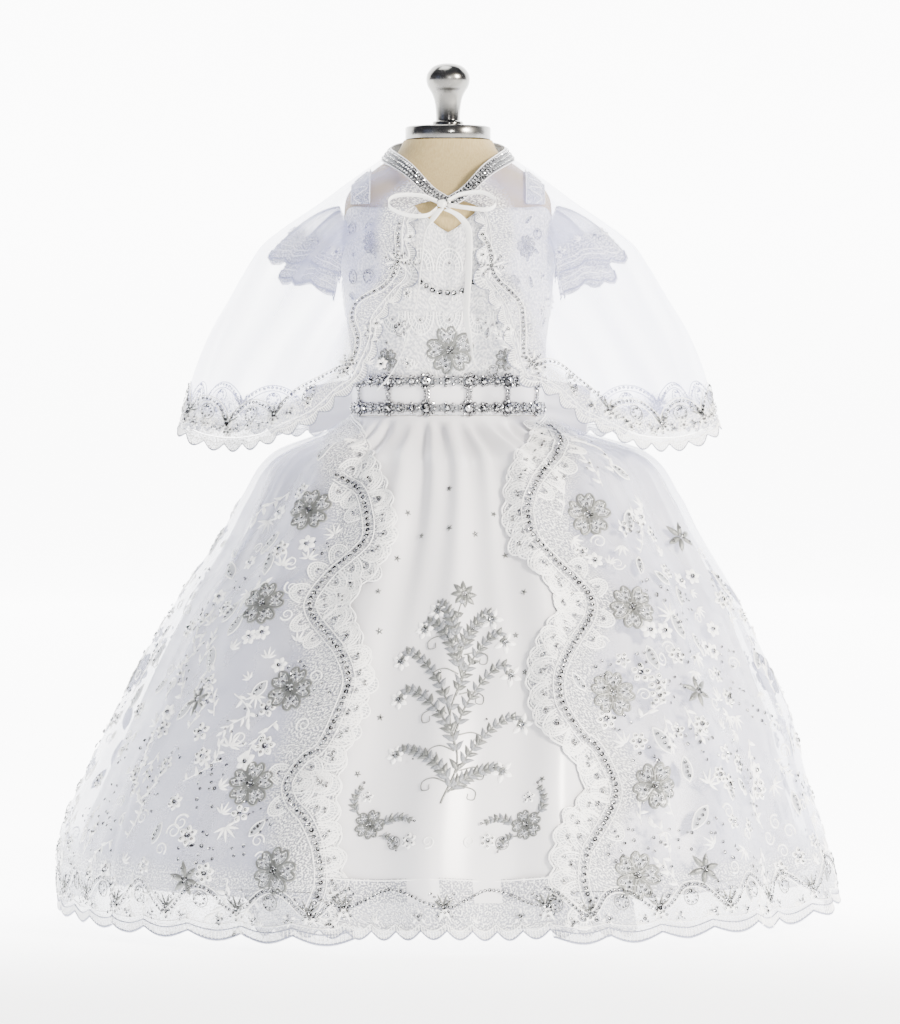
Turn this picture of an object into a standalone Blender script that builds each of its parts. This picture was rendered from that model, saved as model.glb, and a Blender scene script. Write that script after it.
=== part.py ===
"""A child's white christening gown with its sheer cape, worn by a limbless dress form.

Run with: blender --background --python part.py
Metres, +Z up. The gown faces -Y, and left and right are as seen from the front: left is -X.
The origin is at the centre of the form's base, on the surface that it stands on.
"""

import math

import bmesh
import bpy
from mathutils import Vector

MM = 0.001

# Driving sizes of the dress form.
BASE_RADIUS = 120 * MM
BASE_EDGE = 5 * MM
BASE_DOME = 9 * MM
POLE_RADIUS = 12.5 * MM
TORSO_FOOT = 345 * MM
TORSO_TOP = 673 * MM
TORSO_POWER = 2.4
NECK_CAP_RADIUS = 37 * MM
NECK_CAP_HEIGHT = 12 * MM
SEAT_GAP = 0.3 * MM

# Driving sizes of the gown.
WAIST_HEIGHT = 435 * MM
HEM_HEIGHT = 12 * MM
SEAM_GAP = 0.4 * MM
CLOTH = 1.2 * MM
SHEER = 1.0 * MM
BODICE_EASE = 2.4 * MM
SATIN_HEM_AT = 0.93
OVERSKIRT_HEM_AT = 0.915
SKIRT_FOLDS = 16
SCALLOP_DEPTH = 7 * MM
SCALLOPS_A_SIDE = 19
CAPE_FOLDS = 9
CAPE_BORDER = 13 * MM
BELT_HEIGHT = 33 * MM
BELT_EASE = 4.4 * MM
RIBBON_WIDTH = 6 * MM

# Sections of the torso in mm: half width, and depth in front of and behind the side seams.
TORSO = {
    "height": [345, 356, 375, 410, 440, 452, 490, 540, 580, 610, 624, 634, 643, 652, 660, 666, 673],
    "half_width": [60, 70, 75, 77, 78.5, 79, 82, 88, 90, 90, 88, 81, 70, 58, 46, 41.5, 38.6],
    "front": [52, 60, 66, 68, 68.5, 69, 71, 73, 71, 65, 59, 52, 46, 42, 39, 37.5, 36.5],
    "back": [52, 60, 66, 67, 67.5, 68, 68, 70, 70, 67, 61, 54, 48, 43, 40, 38, 37],
}

# Sections of the satin skirt in mm, keyed by the share of the way from the waist seam down to the lace hem.
# Its middle swings a little to one side, by the shift.
SKIRT = {
    "share": [0, 0.02, 0.035, 0.05, 0.09, 0.174, 0.257, 0.38, 0.505, 0.63, 0.75, 0.876, 1.0],
    "half_width": [81.8, 89, 98, 112, 157, 181, 198, 227, 251, 273, 290, 309, 316],
    "shift": [0, 1, 3, 5, 10, 11, 10, 8, 5, 3, -3, -6, 0],
    "front": [72.5, 78, 87, 98, 126, 150, 168, 196, 220, 244, 264, 281, 292],
    "back": [71.5, 77, 86, 98, 130, 160, 180, 210, 234, 255, 273, 286, 294],
}
SATIN_ROWS = [0, 0.035, 0.09, 0.19, 0.37, 0.6, SATIN_HEM_AT]
OVERSKIRT_ROWS = [0, 0.035, 0.09, 0.19, 0.28, 0.37, 0.5, 0.6, 0.71, 0.8, OVERSKIRT_HEM_AT]

# How far in mm the open front edges of the lace overskirt stand from the middle, down the skirt.
OVERSKIRT_EDGE = {
    "share": [0, 0.035, 0.1, 0.18, 0.25, 0.31, 0.37, 0.43, 0.5, 0.6, 0.71, 0.8, 0.9, 1.0],
    "left": [81, 74, 58, 44, 44, 57, 78, 71, 62, 74, 88, 89, 83, 81],
    "right": [82, 74, 53, 45, 53, 69, 90, 75, 65, 73, 112, 87, 82, 87],
}

# Sections of the cape in mm, keyed by the share of the way from the collar down to its hem.
CAPE = {
    "share": [0, 0.05, 0.094, 0.174, 0.25, 0.33, 0.406, 0.482, 0.5625, 0.638, 0.714, 0.795, 0.87, 1.0],
    "half_width": [57, 74, 88, 112, 137, 160, 172, 182, 192, 202, 210, 217, 222, 230],
    "front": [70, 72, 73.5, 76, 78, 80, 82, 84, 86, 88, 90, 93, 95, 99],
    "back": [46, 54, 60, 69, 77, 85, 92, 99, 106, 113, 120, 127, 134, 146],
}
CAPE_ROWS = [0, 0.06, 0.14, 0.26, 0.4, 0.54, 0.68, 0.84, 1.0]
CAPE_TOP = {
    "angle": [0, 14, 35, 49, 66, 90, 135, 180],
    "height": [612, 620, 638, 646, 652, 657, 664, 667],
}
CAPE_HEM = {
    "angle": [0, 18, 24, 30, 37, 45, 64, 80, 90, 135, 180],
    "height": [480, 470, 461, 441, 429, 419, 419, 430, 436, 430, 430],
}
CAPE_EDGE = {
    "share": [0, 0.06, 0.116, 0.25, 0.39, 0.46, 0.52, 0.6, 0.68, 0.8, 0.93, 1.0],
    "left": [12, 24, 31, 32, 36, 38, 47, 57, 66, 68, 77, 84],
    "right": [12, 22, 28, 30, 32, 34, 41, 49, 54, 59, 63, 68],
}

# Top edge of the bodice in mm, by the angle round the body from the middle of the front.
NECKLINE_FRONT = {
    "angle": [0, 12, 24, 40, 66, 76, 83, 89.8],
    "height": [591, 609, 612, 613, 613, 600, 585, 575],
}
NECKLINE_BACK = {
    "angle": [90.2, 97, 104, 114, 140, 180],
    "height": [575, 585, 603, 620, 623, 624],
}

# Angles round the waist where upright clusters join the two rhinestone rows of the belt.
BELT_CLUSTERS = [-62, -33, -9, 9, 33, 62]

MATERIALS = {
    "satin": ((0.90, 0.90, 0.92), 0.32, 0.0),
    "organza": ((0.93, 0.94, 0.98), 0.45, 0.0),
    "lace": ((0.88, 0.89, 0.90), 0.55, 0.0),
    "linen": ((0.66, 0.57, 0.42), 0.85, 0.0),
    "pewter": ((0.45, 0.45, 0.46), 0.28, 1.0),
    "rhinestone": ((0.75, 0.77, 0.80), 0.12, 0.6),
}


def clear_scene():
    for thing in list(bpy.data.objects):
        bpy.data.objects.remove(thing)


def material(name):
    found = bpy.data.materials.get(name)
    if found:
        return found
    colour, roughness, metallic = MATERIALS[name]
    made = bpy.data.materials.new(name)
    made.use_nodes = True
    shader = made.node_tree.nodes["Principled BSDF"]
    shader.inputs["Base Color"].default_value = (*colour, 1)
    shader.inputs["Roughness"].default_value = roughness
    shader.inputs["Metallic"].default_value = metallic
    return made


def read(table, column, at):
    """A smooth value between the rows of a table, whose first column is the key."""
    keys = next(iter(table.values()))
    values = table[column]
    if at <= keys[0]:
        return values[0]
    if at >= keys[-1]:
        return values[-1]
    row = max(i for i in range(len(keys) - 1) if keys[i] <= at)

    def slope(i):
        low, high = max(i - 1, 0), min(i + 1, len(keys) - 1)
        return (values[high] - values[low]) / (keys[high] - keys[low])

    span = keys[row + 1] - keys[row]
    part = (at - keys[row]) / span
    square, cube = part * part, part ** 3
    return (
        (2 * cube - 3 * square + 1) * values[row]
        + (cube - 2 * square + part) * span * slope(row)
        + (3 * square - 2 * cube) * values[row + 1]
        + (cube - square) * span * slope(row + 1)
    )


def mix(low, high, part):
    return low + (high - low) * part


def soft_step(low, high, at):
    part = min(1, max(0, (at - low) / (high - low)))
    return part * part * (3 - 2 * part)


def steps(low, high, count):
    """count + 1 values from low to high."""
    return [mix(low, high, i / count) for i in range(count + 1)]


def normal_of(surface, first, second, step=0.002):
    """The outward normal of a surface given by two parameters, angle first and then downwards."""
    across = surface(first + step, second) - surface(first - step, second)
    down = surface(first, min(1, second + step)) - surface(first, max(0, second - step))
    return down.cross(across).normalized()


def add_object(name, mesh, finish):
    thing = bpy.data.objects.new(name, mesh)
    thing.data.materials.append(material(finish))
    parts.objects.link(thing)
    return thing


def wall(name, grid, thickness, finish, missing=()):
    """A cloth wall: a grid of points on its outer face, thickened inwards. missing holds the cells left open."""
    bm = bmesh.new()
    rows = [[bm.verts.new(point) for point in row] for row in grid]
    for i in range(len(rows) - 1):
        for j in range(len(rows[i]) - 1):
            if (i, j) not in missing:
                bm.faces.new((rows[i][j], rows[i + 1][j], rows[i + 1][j + 1], rows[i][j + 1]))
    loose = [vertex for vertex in bm.verts if not vertex.link_faces]
    bmesh.ops.delete(bm, geom=loose, context="VERTS")
    mesh = bpy.data.meshes.new(name)
    bm.to_mesh(mesh)
    bm.free()
    mesh.shade_smooth()
    thing = add_object(name, mesh, finish)
    solid = thing.modifiers.new("Cloth", "SOLIDIFY")
    solid.thickness = thickness
    solid.offset = -1
    solid.use_even_offset = False
    return thing


def turned(name, profile, finish, around=32):
    """A turned solid from a profile of radius and height, listed from the top down."""
    mesh = bpy.data.meshes.new(name)
    mesh.from_pydata([(r, 0, z) for r, z in profile], [(i, i + 1) for i in range(len(profile) - 1)], [])
    thing = add_object(name, mesh, finish)
    screw = thing.modifiers.new("Turn", "SCREW")
    screw.steps = screw.render_steps = around
    screw.use_merge_vertices = True
    screw.merge_threshold = 0.00005
    return thing


# The dress form

def torso_section(height):
    return [read(TORSO, column, height / MM) * MM for column in ("half_width", "front", "back")]


def round_section(angle, half_width, front, back, power=2.0):
    """A point on a closed section. A power over 2 squares it off, as a torso is."""
    side, ahead = math.sin(angle), math.cos(angle)
    depth = front if ahead > 0 else back
    bend = 2 / power
    x = math.copysign(abs(side) ** bend, side) * half_width
    y = -math.copysign(abs(ahead) ** bend, ahead) * depth
    return x, y


def angle_for(x, half_width, power=2.0):
    """The angle at which a section reaches a given distance to one side of its middle."""
    reach = x / half_width
    return math.copysign(math.asin(min(0.99, abs(reach) ** (power / 2))), reach)


def torso_point(angle, height, ease=0.0):
    half_width, front, back = torso_section(height)
    x, y = round_section(angle, half_width + ease, front + ease, back + ease, TORSO_POWER)
    return Vector((x, y, height))


def torso_side(y, height, ease):
    """The distance from the middle to the side of the eased torso, at one depth and height."""
    half_width, front, back = torso_section(height)
    depth = (front if y < 0 else back) + ease
    return (half_width + ease) * max(0, 1 - (abs(y) / depth) ** TORSO_POWER) ** (1 / TORSO_POWER)


def shoulder_height(x, y, ease):
    """The height of the eased torso's shoulder over a point of the plan."""
    low, high = 590 * MM, TORSO_TOP
    for _ in range(30):
        middle = (low + high) / 2
        inside = torso_side(y, middle, ease) > x
        low, high = (middle, high) if inside else (low, middle)
    return low + 0.6 * MM


def make_torso():
    around = 18
    bm = bmesh.new()
    rings = []
    for height in TORSO["height"]:
        ring = [torso_point(-2 * math.pi * i / around, height * MM) for i in range(around)]
        rings.append([bm.verts.new(point) for point in ring])
    for low, high in zip(rings, rings[1:]):
        for i in range(around):
            after = (i + 1) % around
            bm.faces.new((low[i], high[i], high[after], low[after]))
    bm.faces.new(rings[0])
    bm.faces.new(reversed(rings[-1]))
    bmesh.ops.recalc_face_normals(bm, faces=bm.faces)
    mesh = bpy.data.meshes.new("form_torso")
    bm.to_mesh(mesh)
    bm.free()
    mesh.shade_smooth()
    add_object("form_torso", mesh, "linen")


def make_stand():
    base = [
        (0, BASE_DOME),
        (POLE_RADIUS * 2, BASE_DOME),
        (BASE_RADIUS, BASE_EDGE),
        (BASE_RADIUS, 0),
        (0, 0),
    ]
    turned("form_base", base, "pewter", around=36)
    foot, head = BASE_DOME + SEAT_GAP, TORSO_FOOT - SEAT_GAP
    turned("form_pole", [(0, head), (POLE_RADIUS, head), (POLE_RADIUS, foot), (0, foot)], "pewter", around=16)


def make_neck_cap():
    low = TORSO_TOP + SEAT_GAP
    high = low + NECK_CAP_HEIGHT
    rim = 1.2 * MM
    profile = [(0, high), (NECK_CAP_RADIUS - rim, high), (NECK_CAP_RADIUS, high - rim), (NECK_CAP_RADIUS, low), (0, low)]
    turned("form_neck_cap", profile, "pewter", around=28)
    seat = high + SEAT_GAP
    finial = {
        "radius": [0, 8, 15, 18.4, 18.6, 15.5, 12.8, 10.8, 10.2, 13, 13, 0],
        "above": [54.5, 53.8, 51, 45.5, 38, 31.5, 25.5, 18.5, 4, 2.6, 0, 0],
    }
    profile = [(radius * MM, seat + above * MM) for radius, above in zip(finial["radius"], finial["above"])]
    turned("form_finial", profile, "pewter", around=14)


# The bodice, straps, sleeves and belt

def bodice_point(angle, share, neckline):
    """share runs from 0 at the waist seam to 1 at the top edge."""
    top = read(neckline, "height", math.degrees(abs(angle))) * MM
    return torso_point(angle, mix(WAIST_HEIGHT + SEAT_GAP, top, share), BODICE_EASE)


def bodice_panel(name, angles, neckline, rows=7):
    """A panel whose rows lie closer together towards the shoulder, where the form turns in."""
    grid = [
        [bodice_point(math.radians(angle), 1 - (row / rows) ** 1.5, neckline) for angle in angles]
        for row in range(rows + 1)
    ]
    wall(name, grid, CLOTH, "satin")


def make_bodice():
    bodice_panel("bodice_front", steps(-89.8, 89.8, 18), NECKLINE_FRONT)
    bodice_panel("bodice_back_right", steps(90.2, 179.85, 10), NECKLINE_BACK)
    bodice_panel("bodice_back_left", steps(-179.85, -90.2, 10), NECKLINE_BACK)


def strap_line(x, front_foot, back_foot, count=8):
    """Points over the shoulder at one distance from the middle, from the front top edge to the back."""
    ends = []
    for foot, column in ((front_foot, 1), (back_foot, 2)):
        half_width = torso_section(foot)[0] + BODICE_EASE
        depth = torso_section(foot)[column] + BODICE_EASE
        ends.append(depth * max(0.05, 1 - (x / half_width) ** TORSO_POWER) ** (1 / TORSO_POWER))
    return [Vector((x, y, shoulder_height(x, y, BODICE_EASE))) for y in steps(-ends[0], ends[1], count)]


def make_straps():
    lines = [strap_line(x * MM, 616 * MM, 627 * MM) for x in (67, 75, 83)]
    wall("strap_right", list(zip(*lines))[::-1], CLOTH, "lace")
    mirrored = [[Vector((-p.x, p.y, p.z)) for p in row] for row in list(zip(*lines))]
    wall("strap_left", mirrored, CLOTH, "lace")


# Flutter sleeves in mm: how far each tier reaches out and falls at its top and at its ends, and how far inside it starts.
SLEEVES = {
    "upper": {"out_top": 60, "out_end": 20, "fall_top": 44, "fall_end": 32, "curve": 1.7, "inside": 0.0},
    "lower": {"out_top": 51, "out_end": 23, "fall_top": 58, "fall_end": 48, "curve": 1.35, "inside": 3.2},
}


def sleeve_point(side, turn, share, tier):
    """turn is the angle round the armhole from its top, towards the front. share runs from the armhole out to the hem."""
    size = SLEEVES[tier]
    around, over = math.sin(turn), math.cos(turn)
    y = -(38 * MM - size["inside"] * MM) * around
    height = 588 * MM + (28 * MM - size["inside"] * MM) * over
    start = torso_side(y, height, BODICE_EASE + 1.4 * MM)
    top = max(0, over) ** 1.3
    out = mix(size["out_end"], size["out_top"], top) * MM
    fall = mix(size["fall_end"], size["fall_top"], top) * MM
    wave = 3.0 * MM * share ** 1.5 * math.cos(6 * turn + 0.6 * side)
    reach = share * (1 + 0.05 * abs(math.sin(6 * turn)) * soft_step(0.6, 1, share))
    x = start + out * reach + wave * 0.5
    return Vector((side * x, y * (1 + 0.15 * reach) - wave * around, height - fall * reach ** size["curve"] + wave * over))


def make_sleeves():
    for tier in SLEEVES:
        for name, side in (("left", -1), ("right", 1)):
            turns = [math.radians(turn) for turn in steps(100 * side, -100 * side, 14)]
            grid = [[sleeve_point(side, turn, share, tier) for turn in turns] for share in steps(0, 1, 3)]
            wall(f"sleeve_{tier}_{name}", grid, SHEER, "organza")


def belt_point(angle, above, ease):
    return torso_point(math.radians(angle), WAIST_HEIGHT + above, ease)


def make_belt():
    heights = (BELT_HEIGHT, 1.2 * MM)
    band = [[belt_point(angle, above, BELT_EASE) for angle in steps(-92, 92, 26)] for above in heights]
    wall("belt_band", band, CLOTH, "satin")
    sash = [[belt_point(angle, above, BELT_EASE) for angle in steps(92.4, 267.6, 20)] for above in heights]
    wall("sash_back", sash, CLOTH, "satin")
    make_belt_trim()


def make_belt_trim():
    """Two rows of rhinestones joined by upright clusters, with the satin showing in the windows between."""
    half = 2.8
    angles, joined = [-88], set()
    for cluster in BELT_CLUSTERS:
        angles += steps(angles[-1], cluster - half, 2)[1:]
        joined.add(len(angles) - 1)
        angles.append(cluster + half)
    angles += steps(angles[-1], 88, 2)[1:]
    levels = [34.5 * MM, 25 * MM, 12.5 * MM, 1.5 * MM]
    ease = BELT_EASE + SEAT_GAP + 2.0 * MM
    grid = [[belt_point(angle, above, ease) for angle in angles] for above in levels]
    windows = {(1, j) for j in range(len(angles) - 1) if j not in joined}
    wall("belt_trim", grid, 1.7 * MM, "rhinestone", missing=windows)


# The skirts

def skirt_power(share):
    return mix(TORSO_POWER, 2.0, soft_step(0, 0.12, share))


def skirt_section(angle, share):
    sizes = [read(SKIRT, column, share) * MM for column in ("half_width", "front", "back")]
    x, y = round_section(angle, *sizes, skirt_power(share))
    return Vector((x + read(SKIRT, "shift", share) * MM, y, mix(WAIST_HEIGHT, HEM_HEIGHT, share)))


def skirt_fold(angle, share):
    """How far the folds move the cloth out: small gathers at the waist that run into broad folds."""
    phase = SKIRT_FOLDS * angle + 0.9 * math.sin(3 * angle + 1) + 0.6 * math.sin(5 * angle - 0.5)
    broad = 1.7 * soft_step(0, 0.03, share) + 3.0 * soft_step(0.02, 0.2, share) + 2.4 * soft_step(0.3, 1, share)
    depth = 0.75 + 0.25 * math.sin(2 * angle + 0.7)
    return broad * depth * math.cos(phase) * MM


def skirt_point(angle, share, out=0.0):
    """A point on the folded satin, moved out along its normal, which is level at the waist seam."""
    base = skirt_section(angle, share)
    normal = normal_of(skirt_section, angle, share)
    level = Vector((normal.x, normal.y, 0)).normalized()
    away = level.lerp(normal, soft_step(0, 0.035, share)).normalized()
    return base + away * (skirt_fold(angle, share) + out)


def overskirt_lift(angle, share):
    """How far the lace overskirt stands off the satin: close in front, free at the sides and back."""
    side = math.sin(angle) ** 2 if math.cos(angle) > 0 else 1
    free = mix(5.5, 14.5, side) * soft_step(0.02, 0.8, share)
    return (3.3 + 2.3 * soft_step(0, 0.03, share) + free) * MM


def overskirt_point(angle, share):
    seat = 0.9 * MM * (1 - soft_step(0, 0.03, share))
    return skirt_point(angle, share, overskirt_lift(angle, share)) + Vector((0, 0, seat))


def skirt_angle(side, x, share, lift):
    """The angle at which the skirt, moved out by lift, reaches a distance in mm to one side of the middle."""
    across = x - side * read(SKIRT, "shift", share)
    return angle_for(across * MM, read(SKIRT, "half_width", share) * MM + lift, skirt_power(share))


def overskirt_edge(side, share):
    """The angle of the overskirt's open front edge."""
    column = "left" if side < 0 else "right"
    return skirt_angle(side, read(OVERSKIRT_EDGE, column, share), share, overskirt_lift(0.5, share))


def make_underskirt():
    front = [[skirt_point(math.radians(angle), share) for angle in steps(-89.9, 89.9, 48)] for share in SATIN_ROWS]
    wall("underskirt_front", front, CLOTH, "satin")
    rows = SATIN_ROWS[:4] + SATIN_ROWS[5:]
    back = [[skirt_point(math.radians(angle), share) for angle in steps(90.1, 269.9, 40)] for share in rows]
    wall("underskirt_back", back, CLOTH, "satin")
    make_front_hem_lace()


def scallop(at):
    """The drop of a scalloped edge, where each whole number of at is a notch."""
    return SCALLOP_DEPTH * abs(math.sin(math.pi * at))


def make_front_hem_lace():
    """The lace strip on the satin's front hem, laid on its face and hanging below it."""
    angles = [angle for angle in steps(-89.9, 89.9, 48) if abs(angle) < 30.5]
    angles = sorted(angles + [(a + b) / 2 for a, b in zip(angles, angles[1:])])
    grid = []
    for row, share in enumerate((0.885, SATIN_HEM_AT, 0.985)):
        drops = [scallop(j / 3) if row == 2 else 0 for j in range(len(angles))]
        line = [skirt_point(math.radians(angle), share, 2.0 * MM) for angle in angles]
        grid.append([point - Vector((0, 0, drop)) for point, drop in zip(line, drops)])
    wall("front_hem_lace", grid, SHEER, "lace")


CENTRE_BACK = math.pi - 0.0014


def overskirt_panel(side, columns):
    grid = []
    for share in OVERSKIRT_ROWS:
        angles = [side * angle for angle in steps(overskirt_edge(side, share), CENTRE_BACK, columns)]
        grid.append([overskirt_point(angle, share) for angle in angles[::side]])
    return grid


def overskirt_border(side):
    """The scalloped lace border sewn under an overskirt panel."""
    cells = 3
    columns = SCALLOPS_A_SIDE * cells
    angles = [side * angle for angle in steps(overskirt_edge(side, OVERSKIRT_HEM_AT), CENTRE_BACK, columns)]
    top = [overskirt_point(angle, OVERSKIRT_HEM_AT + 0.0018) for angle in angles]
    low = [overskirt_point(angle, 1.0) - Vector((0, 0, scallop(j / cells))) for j, angle in enumerate(angles)]
    return [top[::side], low[::side]]


def make_overskirt():
    for name, side in (("left", -1), ("right", 1)):
        wall(f"overskirt_{name}", overskirt_panel(side, 32), SHEER, "organza")
        wall(f"hem_lace_{name}", overskirt_border(side), SHEER, "lace")


# The cape and its tie

def cape_top(angle):
    return read(CAPE_TOP, "height", math.degrees(abs(angle))) * MM


def cape_hem(angle):
    return read(CAPE_HEM, "height", math.degrees(abs(angle))) * MM


def cape_section(angle, share):
    sizes = [read(CAPE, column, share) * MM for column in ("half_width", "front", "back")]
    power = 2.0 + 0.4 * soft_step(0, 0.08, share) * (1 - soft_step(0.2, 0.45, share))
    x, y = round_section(angle, *sizes, power)
    return Vector((x, y, mix(cape_top(angle), cape_hem(angle), share)))


def cape_point(angle, share):
    base = cape_section(angle, share)
    wave = math.cos(CAPE_FOLDS * angle + 0.8 * math.sin(2 * angle + 0.4))
    depth = 5.0 * MM * soft_step(0.25, 1, share) * soft_step(0.1, 0.9, abs(angle))
    return base + normal_of(cape_section, angle, share) * wave * depth


def cape_edge(side, share):
    """The angle of the cape's open front edge."""
    column = "left" if side < 0 else "right"
    return angle_for(read(CAPE_EDGE, column, share), read(CAPE, "half_width", share))


def cape_panel(side, columns):
    grid = []
    for share in CAPE_ROWS:
        angles = [side * angle for angle in steps(cape_edge(side, share), CENTRE_BACK, columns)]
        grid.append([cape_point(angle, share) for angle in angles[::side]])
    return grid


def cape_outline(side, columns):
    """The corners of a cape half down its front edge and round its hem, each with the surface normal there."""
    places = [(side * cape_edge(side, share), share) for share in CAPE_ROWS[1:-1]]
    places += [(side * angle, 1.0) for angle in steps(cape_edge(side, 1), CENTRE_BACK, columns)]
    return [(cape_point(*place), normal_of(cape_point, *place)) for place in places]


def cape_border(side, columns):
    """The lace border sewn along the cape's front edge and hem, one scallop to each straight of the panel's edge."""
    line = cape_outline(side, columns)
    corners = []
    for j, (point, normal) in enumerate(line):
        before, after = line[max(j - 1, 0)][0], line[min(j + 1, len(line) - 1)][0]
        corners.append((point, (after - before).cross(normal).normalized() * side))
    inner, outer = [], []
    for (start, turn), (end, next_turn) in zip(corners, corners[1:]):
        for part, drop in ((0, 0), (0.5, SCALLOP_DEPTH)):
            point, away = start.lerp(end, part), turn.lerp(next_turn, part).normalized()
            inner.append(point + away * SEAM_GAP * 1.6)
            outer.append(point + away * (CAPE_BORDER - SCALLOP_DEPTH + drop))
    point, away = corners[-1]
    inner.append(point + away * SEAM_GAP * 1.6)
    outer.append(point + away * (CAPE_BORDER - SCALLOP_DEPTH))
    return [inner[::side], outer[::side]]


def collar_point(angle, share):
    """share is 0 at the cape's seam and 1 at the top edge of the collar."""
    sizes = [mix(56.4, 50.5, share), mix(69.4, 65.5, share), mix(45.5, 41.0, share)]
    x, y = round_section(angle, *[size * MM for size in sizes])
    return Vector((x, y, cape_top(angle) + mix(0.7, 8.5, share) * MM))


def make_cape():
    for name, side in (("left", -1), ("right", 1)):
        wall(f"cape_{name}", cape_panel(side, 18), SHEER, "organza")
        wall(f"cape_lace_{name}", cape_border(side, 18), SHEER, "lace")
    angles = [math.radians(angle) for angle in steps(3, 357, 44)]
    signed = [angle if angle <= math.pi else angle - 2 * math.pi for angle in angles]
    collar = [[collar_point(angle, share) for angle in signed] for share in (1, 0)]
    wall("cape_collar", collar, 1.6 * MM, "rhinestone")


def smooth_path(points, per_span):
    """A curve through every point, as a list of closely spaced points."""
    found = []
    for i in range(len(points) - 1):
        before, start = points[max(i - 1, 0)], points[i]
        end, after = points[i + 1], points[min(i + 2, len(points) - 1)]
        for step in range(per_span):
            part = step / per_span
            square, cube = part * part, part ** 3
            found.append(
                start * (2 * cube - 3 * square + 1)
                + (end - before) * 0.5 * (cube - 2 * square + part)
                + end * (3 * square - 2 * cube)
                + (after - start) * 0.5 * (cube - square)
            )
    found.append(points[-1])
    return found


def ribbon(name, route, face, width, per_span=4, thickness=SHEER, finish="satin"):
    """A flat ribbon along a route of points. face is the direction that its width runs in, at its start and end."""
    line = smooth_path([Vector(point) * MM for point in route], per_span)
    first, last = Vector(face[0]).normalized(), Vector(face[-1]).normalized()
    grid = [[], []]
    for i, point in enumerate(line):
        across = first.lerp(last, i / (len(line) - 1)).normalized() * width / 2
        grid[0].append(point + across)
        grid[1].append(point - across)
    wall(name, grid, thickness, finish)


def knot(name, centre, radii, around, finish="satin"):
    bm = bmesh.new()
    bmesh.ops.create_uvsphere(bm, u_segments=around, v_segments=around * 2 // 3, radius=MM)
    bmesh.ops.scale(bm, vec=radii, verts=bm.verts)
    bmesh.ops.translate(bm, vec=Vector(centre) * MM, verts=bm.verts)
    mesh = bpy.data.meshes.new(name)
    bm.to_mesh(mesh)
    bm.free()
    mesh.shade_smooth()
    add_object(name, mesh, finish)


# Routes of the ribbon tie in mm, from the knot outwards.
TIE_LOOP_LEFT = [
    (-9.5, -74, 617.5), (-21, -77, 622), (-36, -79, 623), (-47, -80, 621), (-51, -80, 616),
    (-47, -80, 610), (-33, -80, 605), (-18, -79, 605), (-9, -76, 611),
]
TIE_LOOP_RIGHT = [
    (-0.5, -74, 618), (11, -77, 623.5), (29, -79, 625), (39.5, -79, 619.5), (40.5, -79, 614),
    (33, -79, 610), (16, -78, 611.5), (0, -75, 614),
]
TIE_TAIL_LEFT = [
    (-6, -80, 611), (-12, -81, 603), (-18, -82, 594), (-21, -83.5, 580), (-22.5, -86, 563),
    (-27, -92, 529), (-36, -92, 495), (-47, -88, 472), (-60, -84, 456),
]
TIE_TAIL_RIGHT = [
    (-1, -80, 610.5), (9, -81, 605), (17, -83, 594), (18, -86, 575), (17, -89, 547),
    (15.5, -93, 520), (19, -92, 500), (22, -89, 481), (27, -87, 474),
]


def make_neck_tie():
    """The cape's ribbon tie: a knot, two loops and two tails that hang down the bodice."""
    knot("tie_knot", (-5, -72.4, 615.5), (4.4, 3.2, 3.6), 10)
    face = [(0.0, -0.86, 0.5), (0.0, -0.86, 0.5)]
    ribbon("tie_loop_left", TIE_LOOP_LEFT[::-1], face, RIBBON_WIDTH, per_span=3)
    ribbon("tie_loop_right", TIE_LOOP_RIGHT, face, RIBBON_WIDTH, per_span=3)
    hang = [(1, -0.25, 0.15), (0.75, -0.65, 0.0)]
    ribbon("tie_tail_left", TIE_TAIL_LEFT, hang, RIBBON_WIDTH, per_span=2)
    ribbon("tie_tail_right", TIE_TAIL_RIGHT, hang, RIBBON_WIDTH, per_span=2)


# One loop of the satin bow in mm: out along the back of the waist and home again.
BOW_LOOP = {
    "step": list(range(10)),
    "x": [13.6, 40, 72, 100, 119, 124, 114, 86, 50, 13.6],
    "y": [87, 100, 103, 92, 72, 60, 67, 79, 86, 81],
    "z": [453, 455, 452, 446, 441, 440, 441, 446, 452, 451],
    "width": [14, 26, 33, 38, 41, 42, 41, 34, 25, 13],
}


def bow_loop(name, side):
    grid = [[], [], []]
    for step in steps(0, 9, 20):
        x, y, z, width = [read(BOW_LOOP, column, step) * MM for column in ("x", "y", "z", "width")]
        lean = Vector((side * 0.1, 0.2, 1)).normalized()
        for row, shift in enumerate((0.5, 0, -0.5)):
            grid[row].append(Vector((side * x, y, z)) + lean * width * shift)
    wall(name, [row[::-side] for row in grid], CLOTH, "satin")


def bow_tail(name, side):
    """A tail of the bow, gathered at the knot and lying on the back of the overskirt."""
    grid = []
    for share in (0.0, 0.035, 0.09, 0.174, 0.3, 0.37, 0.45):
        half = mix(5, 17, soft_step(0, 0.12, share))
        middle = half + 2.5 + 70 * share
        lift = overskirt_lift(math.pi, share) + (2.8 + 4.5 * (1 - soft_step(0, 0.07, share))) * MM
        slant = 0.02 if share > 0.44 else 0.0
        line = []
        for part in steps(-1, 1, 4):
            angle = math.pi - skirt_angle(side, middle + half * part, share, lift)
            line.append(skirt_point(side * angle, share + slant * part, lift))
        grid.append(line[::-side])
    wall(name, grid, CLOTH, "satin")


def make_bow():
    for name, side in (("left", -1), ("right", 1)):
        bow_loop(f"bow_loop_{name}", side)
        bow_tail(f"bow_tail_{name}", side)
    knot("bow_knot", (0, 81.0, 450), (12.5, 8.6, 13.4), 12)


def main():
    make_stand()
    make_torso()
    make_neck_cap()
    make_bodice()
    make_straps()
    make_sleeves()
    make_belt()
    make_underskirt()
    make_overskirt()
    make_bow()
    make_cape()
    make_neck_tie()


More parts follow.
